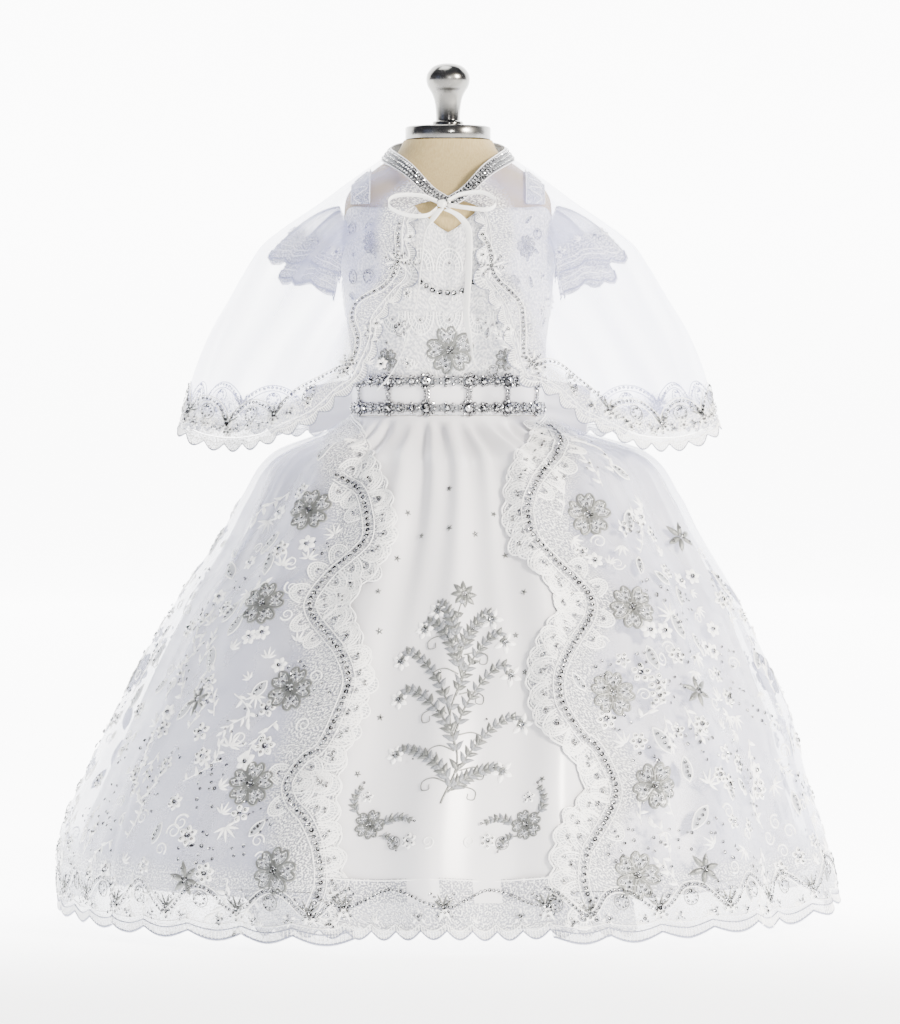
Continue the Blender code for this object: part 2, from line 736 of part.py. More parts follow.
clear_scene()
parts = bpy.data.collections.new("christening_gown")
bpy.context.scene.collection.children.link(parts)
main()
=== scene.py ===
import math

import bpy
import numpy as np
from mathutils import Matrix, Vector


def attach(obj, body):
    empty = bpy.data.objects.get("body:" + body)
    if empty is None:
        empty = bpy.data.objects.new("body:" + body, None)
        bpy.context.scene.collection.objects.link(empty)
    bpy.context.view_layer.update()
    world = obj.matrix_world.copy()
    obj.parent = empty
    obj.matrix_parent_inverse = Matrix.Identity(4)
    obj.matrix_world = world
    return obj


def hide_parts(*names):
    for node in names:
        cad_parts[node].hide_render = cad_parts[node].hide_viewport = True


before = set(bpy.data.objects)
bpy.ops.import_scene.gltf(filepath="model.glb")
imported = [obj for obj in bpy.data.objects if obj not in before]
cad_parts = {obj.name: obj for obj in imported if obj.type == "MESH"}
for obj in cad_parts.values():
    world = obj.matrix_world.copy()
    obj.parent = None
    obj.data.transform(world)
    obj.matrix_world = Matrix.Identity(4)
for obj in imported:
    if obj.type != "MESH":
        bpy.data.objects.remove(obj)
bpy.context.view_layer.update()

mm = 0.001
rng = np.random.default_rng(7)


# Sizes, the same as those of the solids

torso = {
    "height": [345, 356, 375, 410, 440, 452, 490, 540, 580, 610, 624, 634, 643, 652, 660, 666, 673],
    "halfWidth": [60, 70, 75, 77, 78.5, 79, 82, 88, 90, 90, 88, 81, 70, 58, 46, 41.5, 38.6],
    "front": [52, 60, 66, 68, 68.5, 69, 71, 73, 71, 65, 59, 52, 46, 42, 39, 37.5, 36.5],
    "back": [52, 60, 66, 67, 67.5, 68, 68, 70, 70, 67, 61, 54, 48, 43, 40, 38, 37],
}
skirt = {
    "share": [0, 0.02, 0.035, 0.05, 0.09, 0.174, 0.257, 0.38, 0.505, 0.63, 0.75, 0.876, 1.0],
    "halfWidth": [81.8, 89, 98, 112, 157, 181, 198, 227, 251, 273, 290, 309, 316],
    "shift": [0, 1, 3, 5, 10, 11, 10, 8, 5, 3, -3, -6, 0],
    "front": [72.5, 78, 87, 98, 126, 150, 168, 196, 220, 244, 264, 281, 292],
    "back": [71.5, 77, 86, 98, 130, 160, 180, 210, 234, 255, 273, 286, 294],
}
overskirtEdge = {
    "share": [0, 0.035, 0.1, 0.18, 0.25, 0.31, 0.37, 0.43, 0.5, 0.6, 0.71, 0.8, 0.9, 1.0],
    "left": [81, 74, 58, 44, 44, 57, 78, 71, 62, 74, 88, 89, 83, 81],
    "right": [82, 74, 53, 45, 53, 69, 90, 75, 65, 73, 112, 87, 82, 87],
}
cape = {
    "share": [0, 0.05, 0.094, 0.174, 0.25, 0.33, 0.406, 0.482, 0.5625, 0.638, 0.714, 0.795, 0.87, 1.0],
    "halfWidth": [57, 74, 88, 112, 137, 160, 172, 182, 192, 202, 210, 217, 222, 230],
    "front": [70, 72, 73.5, 76, 78, 80, 82, 84, 86, 88, 90, 93, 95, 99],
    "back": [46, 54, 60, 69, 77, 85, 92, 99, 106, 113, 120, 127, 134, 146],
}
capeTop = {"angle": [0, 14, 35, 49, 66, 90, 135, 180], "height": [612, 620, 638, 646, 652, 657, 664, 667]}
capeHem = {
    "angle": [0, 18, 24, 30, 37, 45, 64, 80, 90, 135, 180],
    "height": [480, 470, 461, 441, 429, 419, 419, 430, 436, 430, 430],
}
capeEdge = {
    "share": [0, 0.06, 0.116, 0.25, 0.39, 0.46, 0.52, 0.6, 0.68, 0.8, 0.93, 1.0],
    "left": [12, 24, 31, 32, 36, 38, 47, 57, 66, 68, 77, 84],
    "right": [12, 22, 28, 30, 32, 34, 41, 49, 54, 59, 63, 68],
}
necklineFront = {
    "angle": [0, 12, 24, 40, 66, 76, 83, 89.8],
    "height": [591, 609, 612, 613, 613, 600, 585, 575],
}
necklineBack = {"angle": [90.2, 97, 104, 114, 140, 180], "height": [575, 585, 603, 620, 623, 624]}
waistHeight, hemHeight = 435, 12
torsoPower = 2.4


def read(table, column, at):
    # a smooth value between the rows of a table, whose first column is the key
    keys = np.array(next(iter(table.values())), float)
    values = np.array(table[column], float)
    low = np.maximum(np.arange(len(keys)) - 1, 0)
    high = np.minimum(np.arange(len(keys)) + 1, len(keys) - 1)
    slopes = (values[high] - values[low]) / (keys[high] - keys[low])
    at = np.clip(np.asarray(at, float), keys[0], keys[-1])
    row = np.clip(np.searchsorted(keys, at, "right") - 1, 0, len(keys) - 2)
    span = keys[row + 1] - keys[row]
    part = (at - keys[row]) / span
    square, cube = part * part, part**3
    return (
        (2 * cube - 3 * square + 1) * values[row]
        + (cube - 2 * square + part) * span * slopes[row]
        + (3 * square - 2 * cube) * values[row + 1]
        + (cube - square) * span * slopes[row + 1]
    )


def softStep(low, high, at):
    part = np.clip((np.asarray(at, float) - low) / (high - low), 0, 1)
    return part * part * (3 - 2 * part)


def mix(low, high, part):
    return low + (high - low) * part


def unit(vectors):
    return vectors / np.maximum(np.linalg.norm(vectors, axis=-1, keepdims=True), 1e-12)


def section(angle, halfWidth, front, back, power=2.0):
    # a closed section round the body: angle 0 is the middle of the front, and pi the middle of the back
    side, ahead = np.sin(angle), np.cos(angle)
    bend = 2 / np.asarray(power, float)
    x = np.sign(side) * np.abs(side) ** bend * halfWidth
    y = -np.sign(ahead) * np.abs(ahead) ** bend * np.where(ahead > 0, front, back)
    return x, y


def normalOf(surface, first, second, step=0.002):
    across = surface(first + step, second) - surface(first - step, second)
    down = surface(first, np.minimum(1, second + step)) - surface(first, np.maximum(0, second - step))
    return unit(np.cross(down, across))


def torsoPoint(angle, height, ease=0.0):
    sizes = [read(torso, column, height) + ease for column in ("halfWidth", "front", "back")]
    x, y = section(angle, *sizes, torsoPower)
    return np.stack([x, y, height + 0 * x], -1)


def torsoSide(y, height, ease):
    depth = np.where(y < 0, read(torso, "front", height), read(torso, "back", height)) + ease
    inner = np.maximum(0, 1 - (np.abs(y) / depth) ** torsoPower) ** (1 / torsoPower)
    return (read(torso, "halfWidth", height) + ease) * inner


def shoulderHeight(x, y, ease):
    low, high = np.full(np.shape(x), 590.0), np.full(np.shape(x), 673.0)
    for _ in range(26):
        middle = (low + high) / 2
        inside = torsoSide(y, middle, ease) > x
        low, high = np.where(inside, middle, low), np.where(inside, high, middle)
    return low + 0.6


def skirtPower(share):
    return mix(torsoPower, 2.0, softStep(0, 0.12, share))


def skirtSection(angle, share):
    sizes = [read(skirt, column, share) for column in ("halfWidth", "front", "back")]
    x, y = section(angle, *sizes, skirtPower(share))
    return np.stack([x + read(skirt, "shift", share), y, mix(waistHeight, hemHeight, share) + 0 * x], -1)


def skirtFold(angle, share):
    phase = 16 * angle + 0.9 * np.sin(3 * angle + 1) + 0.6 * np.sin(5 * angle - 0.5)
    broad = 1.7 * softStep(0, 0.03, share) + 3.0 * softStep(0.02, 0.2, share) + 2.4 * softStep(0.3, 1, share)
    return broad * (0.75 + 0.25 * np.sin(2 * angle + 0.7)) * np.cos(phase)


# folds of the front, listed one by one: angle at the waist and at the hem, height in mm, width, and where each
# runs
frontFolds = [
    (-0.30, -0.29, 3.2, 0.06, 0.01, 0.8), (-0.14, -0.19, 2.6, 0.045, 0.01, 0.55),
    (0.03, 0.01, -2.4, 0.05, 0.01, 0.5), (0.13, 0.18, 2.8, 0.045, 0.01, 0.62),
    (0.31, 0.3, 3.0, 0.06, 0.02, 0.85), (-0.06, -0.12, 2.6, 0.07, 0.45, 1.2),
    (0.08, 0.12, 2.4, 0.08, 0.5, 1.2), (0.24, 0.23, -2.2, 0.05, 0.4, 1.2),
    (-0.24, -0.22, -2.0, 0.05, 0.4, 1.2),
]


def skirtPoint(angle, share, out=0.0, fine=0.0):
    # fine adds the small uneven gathers that run out below the waist
    base = skirtSection(angle, share)
    normal = normalOf(skirtSection, angle, share)
    level = unit(normal * [1, 1, 0])
    away = unit(mix(level, normal, softStep(0, 0.035, share)[..., None]))
    small = np.cos(41 * angle + 1.3 * np.sin(7 * angle)) * (0.6 + 0.4 * np.sin(11 * angle + 2))
    small = small * softStep(0.004, 0.03, share) * (1 - softStep(0.1, 0.55, share)) * 2.5
    slow = np.cos(29 * angle + 2.2 * np.sin(4 * angle) + 1.5 * share) * softStep(0.15, 0.5, share) * 1.1
    placed = 0.0
    for top, bottom, height, wide, first, last in frontFolds:
        gap = (angle - mix(top, bottom, share)) / (wide * (0.55 + share))
        within = softStep(first, first + 0.06, share) * (1 - softStep(last - 0.2, last, share))
        placed = placed + height * np.exp(-(gap**2)) * within
    return base + away * (skirtFold(angle, share) + out + fine * (small + slow + placed))[..., None]


def overskirtLift(angle, share):
    side = np.where(np.cos(angle) > 0, np.sin(angle) ** 2, 1.0)
    free = mix(5.5, 14.5, side) * softStep(0.02, 0.8, share)
    return 3.3 + 2.3 * softStep(0, 0.03, share) + free


def overskirtPleats(angle, share):
    # the front of each panel stands forward of the rest, over one deep fold
    drop = 2.7 * np.cos(15 * angle + 1.3 * np.sin(4 * angle) + 0.8 * share) * softStep(0.5, 0.8, np.abs(angle))
    drop = drop * softStep(0.08, 0.5, share)
    for side, at, depth in ((-1, 1.05, 6.5), (1, 0.69, 5.2)):
        gap = side * np.asarray(angle) - at - 0.05 * np.sin(5 * share)
        ridge = 1.6 * np.exp(-(((gap + 0.035) / 0.03) ** 2))
        trough = depth * softStep(-0.012, 0.03, gap) * (1 - softStep(0.05, 0.6, gap))
        drop = drop + (ridge - trough) * softStep(0.04, 0.24, share)
    return drop


def overskirtPoint(angle, share):
    # near its open front edge it lies close on the satin and follows each of its folds
    edge = np.where(np.asarray(angle) < 0, overskirtStart(-1, share), overskirtStart(1, share))
    free = softStep(-0.02, 0.3, np.abs(angle) - edge)
    near = 1.9 + 2.6 * (1 - softStep(0, 0.05, share))
    lift = mix(near, overskirtLift(angle, share), free) + overskirtPleats(angle, share)
    point = skirtPoint(angle, share, lift, mix(1.0, 0.45, free))
    point[..., 2] += 0.9 * (1 - softStep(0, 0.03, share))
    return point


def angleFor(x, halfWidth, power=2.0):
    reach = x / halfWidth
    return np.sign(reach) * np.arcsin(np.minimum(0.99, np.abs(reach) ** (power / 2)))


def overskirtStart(side, share):
    across = read(overskirtEdge, "left" if side < 0 else "right", share) - side * read(skirt, "shift", share)
    return angleFor(across, read(skirt, "halfWidth", share) + overskirtLift(0.5, share), skirtPower(share))


def capeSection(angle, share):
    sizes = [read(cape, column, share) for column in ("halfWidth", "front", "back")]
    power = 2.0 + 0.4 * softStep(0, 0.08, share) * (1 - softStep(0.2, 0.45, share))
    x, y = section(angle, *sizes, power)
    turn = np.degrees(np.abs(angle))
    height = mix(read(capeTop, "height", turn), read(capeHem, "height", turn), share)
    return np.stack([x, y, height + 0 * x], -1)


def capePoint(angle, share):
    wave = np.cos(9 * angle + 0.8 * np.sin(2 * angle + 0.4))
    depth = 5.0 * softStep(0.25, 1, share) * softStep(0.1, 0.9, np.abs(angle))
    return capeSection(angle, share) + normalOf(capeSection, angle, share) * (wave * depth)[..., None]


def capeStart(side, share):
    return angleFor(read(capeEdge, "left" if side < 0 else "right", share), read(cape, "halfWidth", share))


# Making nodes, materials and meshes

def linear(hexText):
    parts = [int(hexText[i : i + 2], 16) / 255 for i in (1, 3, 5)]
    return tuple(c / 12.92 if c <= 0.04045 else ((c + 0.055) / 1.055) ** 2.4 for c in parts)


def addNode(tree, kind, inputs=None, **settings):
    node = tree.nodes.new(kind)
    for name, value in settings.items():
        setattr(node, name, value)
    for name, value in (inputs or {}).items():
        if isinstance(value, bpy.types.NodeSocket):
            tree.links.new(value, node.inputs[name])
        else:
            node.inputs[name].default_value = value
    return node


def newMaterial(name, inputs):
    material = bpy.data.materials.new(name)
    material.use_nodes = True
    shader = material.node_tree.nodes["Principled BSDF"]
    for socket, value in inputs.items():
        shader.inputs[socket].default_value = value
    return material, material.node_tree, shader


def connect(tree, source, target):
    tree.links.new(source, target)


def newPiece(name, points, faces, material, smooth=True, uv=None, values=None):
    # points in millimetres; uv and values hold one entry per point
    mesh = bpy.data.meshes.new(name)
    mesh.from_pydata((np.asarray(points) * mm).tolist(), [], [tuple(f) for f in np.asarray(faces).tolist()])
    if uv is not None:
        layer = mesh.uv_layers.new(name="cut")
        corner = np.empty(len(mesh.loops), np.int32)
        mesh.loops.foreach_get("vertex_index", corner)
        layer.data.foreach_set("uv", np.asarray(uv, np.float32)[corner].ravel())
    for label, data in (values or {}).items():
        mesh.attributes.new(label, "FLOAT", "POINT").data.foreach_set("value", np.asarray(data, np.float32))
    mesh.polygons.foreach_set("use_smooth", [smooth] * len(mesh.polygons))
    mesh.materials.append(material)
    piece = bpy.data.objects.new(name, mesh)
    bpy.context.scene.collection.objects.link(piece)
    return piece


def gridFaces(rows, columns):
    i, j = np.meshgrid(np.arange(rows - 1), np.arange(columns - 1), indexing="ij")
    a = (i * columns + j).ravel()
    return np.stack([a, a + columns, a + columns + 1, a + 1], 1)


def gridPiece(name, grid, material):
    return newPiece(name, grid.reshape(-1, 3), gridFaces(*grid.shape[:2]), material)


def lengthAlong(grid, axis):
    steps = np.linalg.norm(np.diff(grid, axis=axis), axis=-1)
    pad = [(0, 0), (0, 0)]
    pad[axis] = (1, 0)
    return np.cumsum(np.pad(steps, pad), axis=axis)


def clothPiece(name, grid, material, thick=0.0, values=None):
    # a grid of points from top to bottom; uv is in millimetres of cloth
    rows, columns = grid.shape[:2]
    across, down = lengthAlong(grid, 1), lengthAlong(grid, 0)
    across = across - across[:, columns // 2 : columns // 2 + 1]
    uv = np.stack([across, -down], -1).reshape(-1, 2) * 0.01
    flat = {key: np.asarray(value).ravel() for key, value in (values or {}).items()}
    piece = newPiece(name, grid.reshape(-1, 3), gridFaces(rows, columns), material, True, uv, flat)
    if thick:
        solid = piece.modifiers.new("Cloth", "SOLIDIFY")
        solid.thickness = thick * mm
        solid.offset = -1
    return piece


def distances(points):
    return np.cumsum(np.pad(np.linalg.norm(np.diff(points, axis=0), axis=1), (1, 0)))


# Materials

def weave(tree, scale, depth, distance=0.0002):
    # crossing threads as a fine height, from the cloth's own uv, for a bump
    place = addNode(tree, "ShaderNodeUVMap", uv_map="cut").outputs["UV"]
    waves = []
    for turn in (0, math.pi / 2):
        turned = addNode(tree, "ShaderNodeMapping", {"Vector": place, "Rotation": (0, 0, turn)})
        waves.append(addNode(tree, "ShaderNodeTexWave", {"Vector": turned.outputs["Vector"], "Scale": scale}))
    height = addNode(
        tree, "ShaderNodeMath", {0: waves[0].outputs["Fac"], 1: waves[1].outputs["Fac"]}, operation="MULTIPLY"
    )
    return addNode(
        tree, "ShaderNodeBump", {"Height": height.outputs[0], "Strength": depth, "Distance": distance}
    ).outputs["Normal"]


satin, satinTree, satinShader = newMaterial(
    "woven polyester satin",
    {
        "Base Color": (*linear("#E3E2E5"), 1),
        "Roughness": 0.3,
        "Specular IOR Level": 0.75,
        "Sheen Weight": 0.12,
        "Sheen Roughness": 0.4,
        "Anisotropic": 0.4,
    },
)
# threads too fine to see, which soften the shine
connect(satinTree, weave(satinTree, 46, 0.08), satinShader.inputs["Normal"])


laceSatin, laceTree, laceShader = newMaterial(
    "woven satin under machine-stitched net",
    {"Roughness": 0.42, "Specular IOR Level": 0.5, "Sheen Weight": 0.15},
)
# fine stitches, about 2 mm long, over the grey of the net
place = addNode(laceTree, "ShaderNodeUVMap", uv_map="cut").outputs["UV"]
grains = addNode(laceTree, "ShaderNodeTexNoise", {"Vector": place, "Scale": 44.0, "Detail": 2.0}).outputs["Fac"]
worked = addNode(laceTree, "ShaderNodeMapRange", {0: grains, 1: 0.4, 2: 0.62, 3: 0.0, 4: 1.0}).outputs[0]
tint = addNode(
    laceTree,
    "ShaderNodeMix",
    {"Factor": worked, "A": (*linear("#B2B4BC"), 1), "B": (*linear("#F2F1F0"), 1)},
    data_type="RGBA",
)
connect(laceTree, tint.outputs[2], laceShader.inputs["Base Color"])
raised = addNode(laceTree, "ShaderNodeBump", {"Height": worked, "Strength": 0.5, "Distance": 0.0006})
connect(laceTree, raised.outputs["Normal"], laceShader.inputs["Normal"])


def sheerMaterial(name, hexText, netAndShadeHex, cover, weaveScale, roughness=0.5):
    # sheer cloth: cover is the share of light that the threads stop. The points' own "dense" value adds a fill
    # of small white stitches, mottled 2 to 3 mm across, as the machine lays them
    material, tree, shader = newMaterial(
        name,
        {
            "Base Color": (*linear(hexText), 1),
            "Roughness": roughness,
            "Specular IOR Level": 0.4,
            "Sheen Weight": 0.2,
        },
    )
    dense = addNode(tree, "ShaderNodeAttribute", attribute_name="dense").outputs["Fac"]
    place = addNode(tree, "ShaderNodeUVMap", uv_map="cut").outputs["UV"]
    drawn = addNode(tree, "ShaderNodeMapping", {"Vector": place, "Scale": (1, 0.14, 1)}).outputs["Vector"]
    streaks = addNode(tree, "ShaderNodeTexNoise", {"Vector": drawn, "Scale": 3.2, "Detail": 1.0}).outputs["Fac"]
    spread = addNode(tree, "ShaderNodeMapRange", {0: streaks, 1: 0.3, 2: 0.7, 3: cover - 0.11, 4: cover + 0.12})
    grains = addNode(tree, "ShaderNodeTexNoise", {"Vector": place, "Scale": 62.0, "Detail": 1.0})
    worked = addNode(tree, "ShaderNodeMapRange", {0: grains.outputs["Fac"], 1: 0.46, 2: 0.6, 3: 0.0, 4: 1.0})
    share = addNode(tree, "ShaderNodeMath", {0: dense, 1: 2.2}, operation="MULTIPLY", use_clamp=True)
    fill = addNode(tree, "ShaderNodeMath", {0: share.outputs[0], 1: worked.outputs[0]}, operation="MULTIPLY")
    # where the cloth is dense its ground turns to the second, darker colour: partly the net's grey, partly
    # painted shade between the stitches
    groundWithShade = addNode(
        tree,
        "ShaderNodeMix",
        {"Factor": share.outputs[0], "A": (*linear(hexText), 1), "B": (*linear(netAndShadeHex), 1)},
        data_type="RGBA",
    )
    tint = addNode(
        tree,
        "ShaderNodeMix",
        {"Factor": fill.outputs[0], "A": groundWithShade.outputs[2], "B": (*linear("#FAFAF8"), 1)},
        data_type="RGBA",
    )
    connect(tree, tint.outputs[2], shader.inputs["Base Color"])
    base = addNode(tree, "ShaderNodeMath", {0: dense, 1: 0.7, 2: spread.outputs[0]}, operation="MULTIPLY_ADD")
    total = addNode(
        tree,
        "ShaderNodeMath",
        {0: fill.outputs[0], 1: 0.5, 2: base.outputs[0]},
        operation="MULTIPLY_ADD",
        use_clamp=True,
    )
    connect(tree, total.outputs[0], shader.inputs["Alpha"])
    threads = weave(tree, weaveScale, 0.15)
    raised = addNode(
        tree,
        "ShaderNodeBump",
        {"Height": fill.outputs[0], "Strength": 0.6, "Distance": 0.0007, "Normal": threads},
    )
    connect(tree, raised.outputs["Normal"], shader.inputs["Normal"])
    return material


# the second colour of each is the ground of dense parts: partly net grey, partly painted shade
organza = sheerMaterial("plain-woven crystal organza", "#B6BAD4", "#8E919C", 0.37, 34)
sheerCape = sheerMaterial("fine plain-woven organza", "#B4B9F0", "#A0A3B4", 0.24, 34)

whiteThread, threadTree, threadShader = newMaterial(
    "stitched white rayon thread",
    {"Base Color": (*linear("#FFFFFE"), 1), "Roughness": 0.36, "Sheen Weight": 0.25},
)
silverThread, silverTree, silverShader = newMaterial(
    "stitched silver lurex thread",
    {"Base Color": (*linear("#747674"), 1), "Roughness": 0.38, "Metallic": 0.45},
)
paleThread, paleTree, paleShader = newMaterial(
    "stitched lavender-grey thread",
    {"Base Color": (*linear("#7E8295"), 1), "Roughness": 0.6, "Sheen Weight": 0.1},
)
# the stitches lie in bundles side by side, drawn 2 mm wide so that they show
for tree, shader in ((threadTree, threadShader), (silverTree, silverShader), (paleTree, paleShader)):
    place = addNode(tree, "ShaderNodeTexCoord").outputs["Object"]
    grain = addNode(tree, "ShaderNodeTexNoise", {"Vector": place, "Scale": 520.0, "Detail": 2.0}).outputs["Fac"]
    bump = addNode(tree, "ShaderNodeBump", {"Height": grain, "Strength": 0.6, "Distance": 0.0008})
    connect(tree, bump.outputs["Normal"], shader.inputs["Normal"])

# the fill's grey is partly the net's own colour and partly painted shade between the stitches
netFillWithShade, netTree, netShader = newMaterial(
    "knitted net under stitches",
    {"Base Color": (*linear("#B4B7BE"), 1), "Roughness": 0.6, "Sheen Weight": 0.2},
)
silverNet, silverNetTree, silverNetShader = newMaterial(
    "knitted silver net", {"Base Color": (*linear("#85888D"), 1), "Roughness": 0.5, "Metallic": 0.3}
)
for tree, shader, depth in ((netTree, netShader, 0.6), (silverNetTree, silverNetShader, 0.9)):
    place = addNode(tree, "ShaderNodeTexCoord").outputs["Object"]
    cells = addNode(tree, "ShaderNodeTexVoronoi", {"Vector": place, "Scale": 620.0}).outputs["Distance"]
    bump = addNode(tree, "ShaderNodeBump", {"Height": cells, "Strength": depth, "Distance": 0.0006})
    connect(tree, bump.outputs["Normal"], shader.inputs["Normal"])  # knots of the net, about 1.6 mm apart
ribbonSatin, ribbonTree, ribbonShader = newMaterial(
    "double-faced satin ribbon",
    {"Base Color": (*linear("#F6F5F1"), 1), "Roughness": 0.34, "Specular IOR Level": 0.5, "Sheen Weight": 0.1},
)
connect(ribbonTree, weave(ribbonTree, 40, 0.1), ribbonShader.inputs["Normal"])  # fine crosswise ribs

sequin, sequinTree, sequinShader = newMaterial("pressed silver sequins", {"Roughness": 0.24, "Metallic": 0.9})
stone, stoneTree, stoneShader = newMaterial("foil-backed cut rhinestones", {"Roughness": 0.09, "Metallic": 0.7})
# painted reflections: each stone facet is painted dark or light, and each sequin's rim has a painted glint on
# one side and painted dark on the other, standing in for what cut glass and cupped foil reflect
for tree, shader, dark, light, middle in (
    (sequinTree, sequinShader, "#131416", "#D9DBDE", 0.68),
    (stoneTree, stoneShader, "#0B0C0E", "#FAFBFC", 0.5),
):
    tone = addNode(tree, "ShaderNodeAttribute", attribute_name="tone").outputs["Fac"]
    level = addNode(tree, "ShaderNodeMapRange", {0: tone, 1: middle - 0.2, 2: middle + 0.2, 3: 0.0, 4: 1.0})
    paintedReflection = addNode(
        tree,
        "ShaderNodeMix",
        {"Factor": level.outputs[0], "A": (*linear(dark), 1), "B": (*linear(light), 1)},
        data_type="RGBA",
    )
    connect(tree, paintedReflection.outputs[2], shader.inputs["Base Color"])
setting = newMaterial(
    "pressed and silvered stone cups",
    {"Base Color": (*linear("#505155"), 1), "Roughness": 0.28, "Metallic": 1.0},
)[0]

linen, linenTree, linenShader = newMaterial("woven linen cover", {"Roughness": 0.85, "Sheen Weight": 0.1})
place = addNode(linenTree, "ShaderNodeTexCoord").outputs["Object"]
stretched = addNode(linenTree, "ShaderNodeMapping", {"Vector": place, "Scale": (1, 1, 0.12)}).outputs["Vector"]
slubs = addNode(
    linenTree, "ShaderNodeTexNoise", {"Vector": stretched, "Scale": 900.0, "Detail": 3.0}
).outputs["Fac"]
tint = addNode(
    linenTree,
    "ShaderNodeMix",
    {"Factor": slubs, "A": (*linear("#8B764A"), 1), "B": (*linear("#B4A173"), 1)},
    data_type="RGBA",
)
connect(linenTree, tint.outputs[2], linenShader.inputs["Base Color"])  # long upright slubs of the yarn
slubBump = addNode(linenTree, "ShaderNodeBump", {"Height": slubs, "Strength": 0.4, "Distance": 0.0004})
connect(linenTree, slubBump.outputs["Normal"], linenShader.inputs["Normal"])

nickel, nickelTree, nickelShader = newMaterial(
    "polished nickel plate", {"Base Color": (*linear("#73726F"), 1), "Roughness": 0.2, "Metallic": 1.0}
)
place = addNode(nickelTree, "ShaderNodeTexCoord").outputs["Object"]
smear = addNode(nickelTree, "ShaderNodeTexNoise", {"Vector": place, "Scale": 60.0, "Detail": 4.0})
dull = addNode(nickelTree, "ShaderNodeMapRange", {0: smear.outputs["Fac"], 1: 0.3, 2: 0.7, 3: 0.14, 4: 0.32})
connect(nickelTree, dull.outputs[0], nickelShader.inputs["Roughness"])  # hand marks


# Putting pieces in place


def place(piece, slot, *nodes):
    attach(piece, "root")
    if nodes:
        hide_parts(*nodes)
    return piece


def declare(piece, grid):
    # works out the cut, the cloth's own width and length laid flat, and keeps neither
    width = float(np.linalg.norm(np.diff(grid, axis=1), axis=-1).sum(1).max()) * mm
    length = float(np.linalg.norm(np.diff(grid, axis=0), axis=-1).sum(0).max()) * mm
    width, length = max(width, 0.011), max(length, 0.011)


# Camera, light and backdrop

view = {"distance": 4.0, "height": 0.44, "pitch": 1.27, "lens": 162.0, "shift": 0.00195}
camera = bpy.data.objects.new("camera", bpy.data.cameras.new("camera"))
camera.location = (0, -view["distance"], view["height"])
camera.rotation_euler = (math.radians(90 - view["pitch"]), 0, 0)
camera.data.lens, camera.data.sensor_width = view["lens"], 36
camera.data.shift_x = view["shift"]
bpy.context.scene.collection.objects.link(camera)
bpy.context.scene.camera = camera

lights = {
    "key": {"at": (2.9, -2.3, 1.8), "size": 0.8, "power": 465, "tint": "#FFF6EA"},
    "fill": {"at": (-2.8, -2.0, 1.0), "size": 1.6, "power": 4, "tint": "#B9CCFF"},
    "front": {"at": (0.7, -3.9, 1.3), "size": 0.45, "power": 50, "tint": "#FFFDF8"},
    "top": {"at": (-0.3, 0.2, 2.6), "size": 1.0, "power": 40, "tint": "#FFFFFF"},
}
for name, light in lights.items():
    lamp = bpy.data.objects.new(name, bpy.data.lights.new(name, "AREA"))
    lamp.data.size, lamp.data.energy, lamp.data.color = light["size"], light["power"], linear(light["tint"])
    lamp.location = light["at"]
    lamp.rotation_euler = (Vector((0, 0, 0.35)) - lamp.location).to_track_quat("-Z", "Y").to_euler()
    bpy.context.scene.collection.objects.link(lamp)

world = bpy.data.worlds.new("studio")
world.use_nodes = True
world.node_tree.nodes["Background"].inputs["Color"].default_value = (*linear("#E8ECFF"), 1)
world.node_tree.nodes["Background"].inputs["Strength"].default_value = 0.2
bpy.context.scene.world = world

paper, paperTree, paperShader = newMaterial(
    "white studio paper",
    {
        "Base Color": (*linear("#DADADA"), 1),
        "Roughness": 0.9,
        "Emission Color": (1, 1, 1, 1),
    },
)
glow = addNode(paperTree, "ShaderNodeAttribute", attribute_name="glow").outputs["Fac"]
connect(paperTree, glow, paperShader.inputs["Emission Strength"])  # the far sweep is lit from behind
turn = np.radians(np.linspace(0, 90, 13))
bend, rise = 6500, 900
profile = [(y, 0) for y in np.linspace(-6000, bend, 126)] + [(7400, 15000)]
profile[-1:-1] = [(bend + rise * math.sin(t), rise - rise * math.cos(t)) for t in turn]
sweep = [[(x, y, z) for x in (-16000, 16000)] for y, z in profile]
sweep = np.array(sweep).reshape(-1, 3)
glows = {"glow": mix(2.1, 8.0, softStep(-700, 200, sweep[:, 1]))}
backdrop = newPiece("backdrop", sweep, gridFaces(len(profile), 2)[:, ::-1], paper, values=glows)
print("camera, lights and backdrop are set")


# The dress form

angles, heights = np.meshgrid(np.linspace(math.pi, -math.pi, 97), np.linspace(345, 673, 61))
grid = torsoPoint(angles, heights)
form = newPiece("formTorso", grid.reshape(-1, 3), gridFaces(61, 97)[:, ::-1], linen)
place(form, "linen", "form_torso")


def turnedPiece(name, profile, material, around=54):
    profile = np.array(profile, float)
    turns = np.linspace(0, 2 * math.pi, around + 1)
    radius, height = profile[:, :1], profile[:, 1:]
    grid = np.stack([radius * np.cos(turns), radius * np.sin(turns), height + 0 * turns], -1)
    return gridPiece(name, grid, material)


def rounded(points, per=5):
    # a smooth line through the points of a profile
    points = np.array(points, float)
    table = {"at": list(range(len(points))), "a": points[:, 0], "b": points[:, 1]}
    at = np.linspace(0, len(points) - 1, per * (len(points) - 1) + 1)
    return np.stack([np.maximum(0, read(table, "a", at)), read(table, "b", at)], 1)


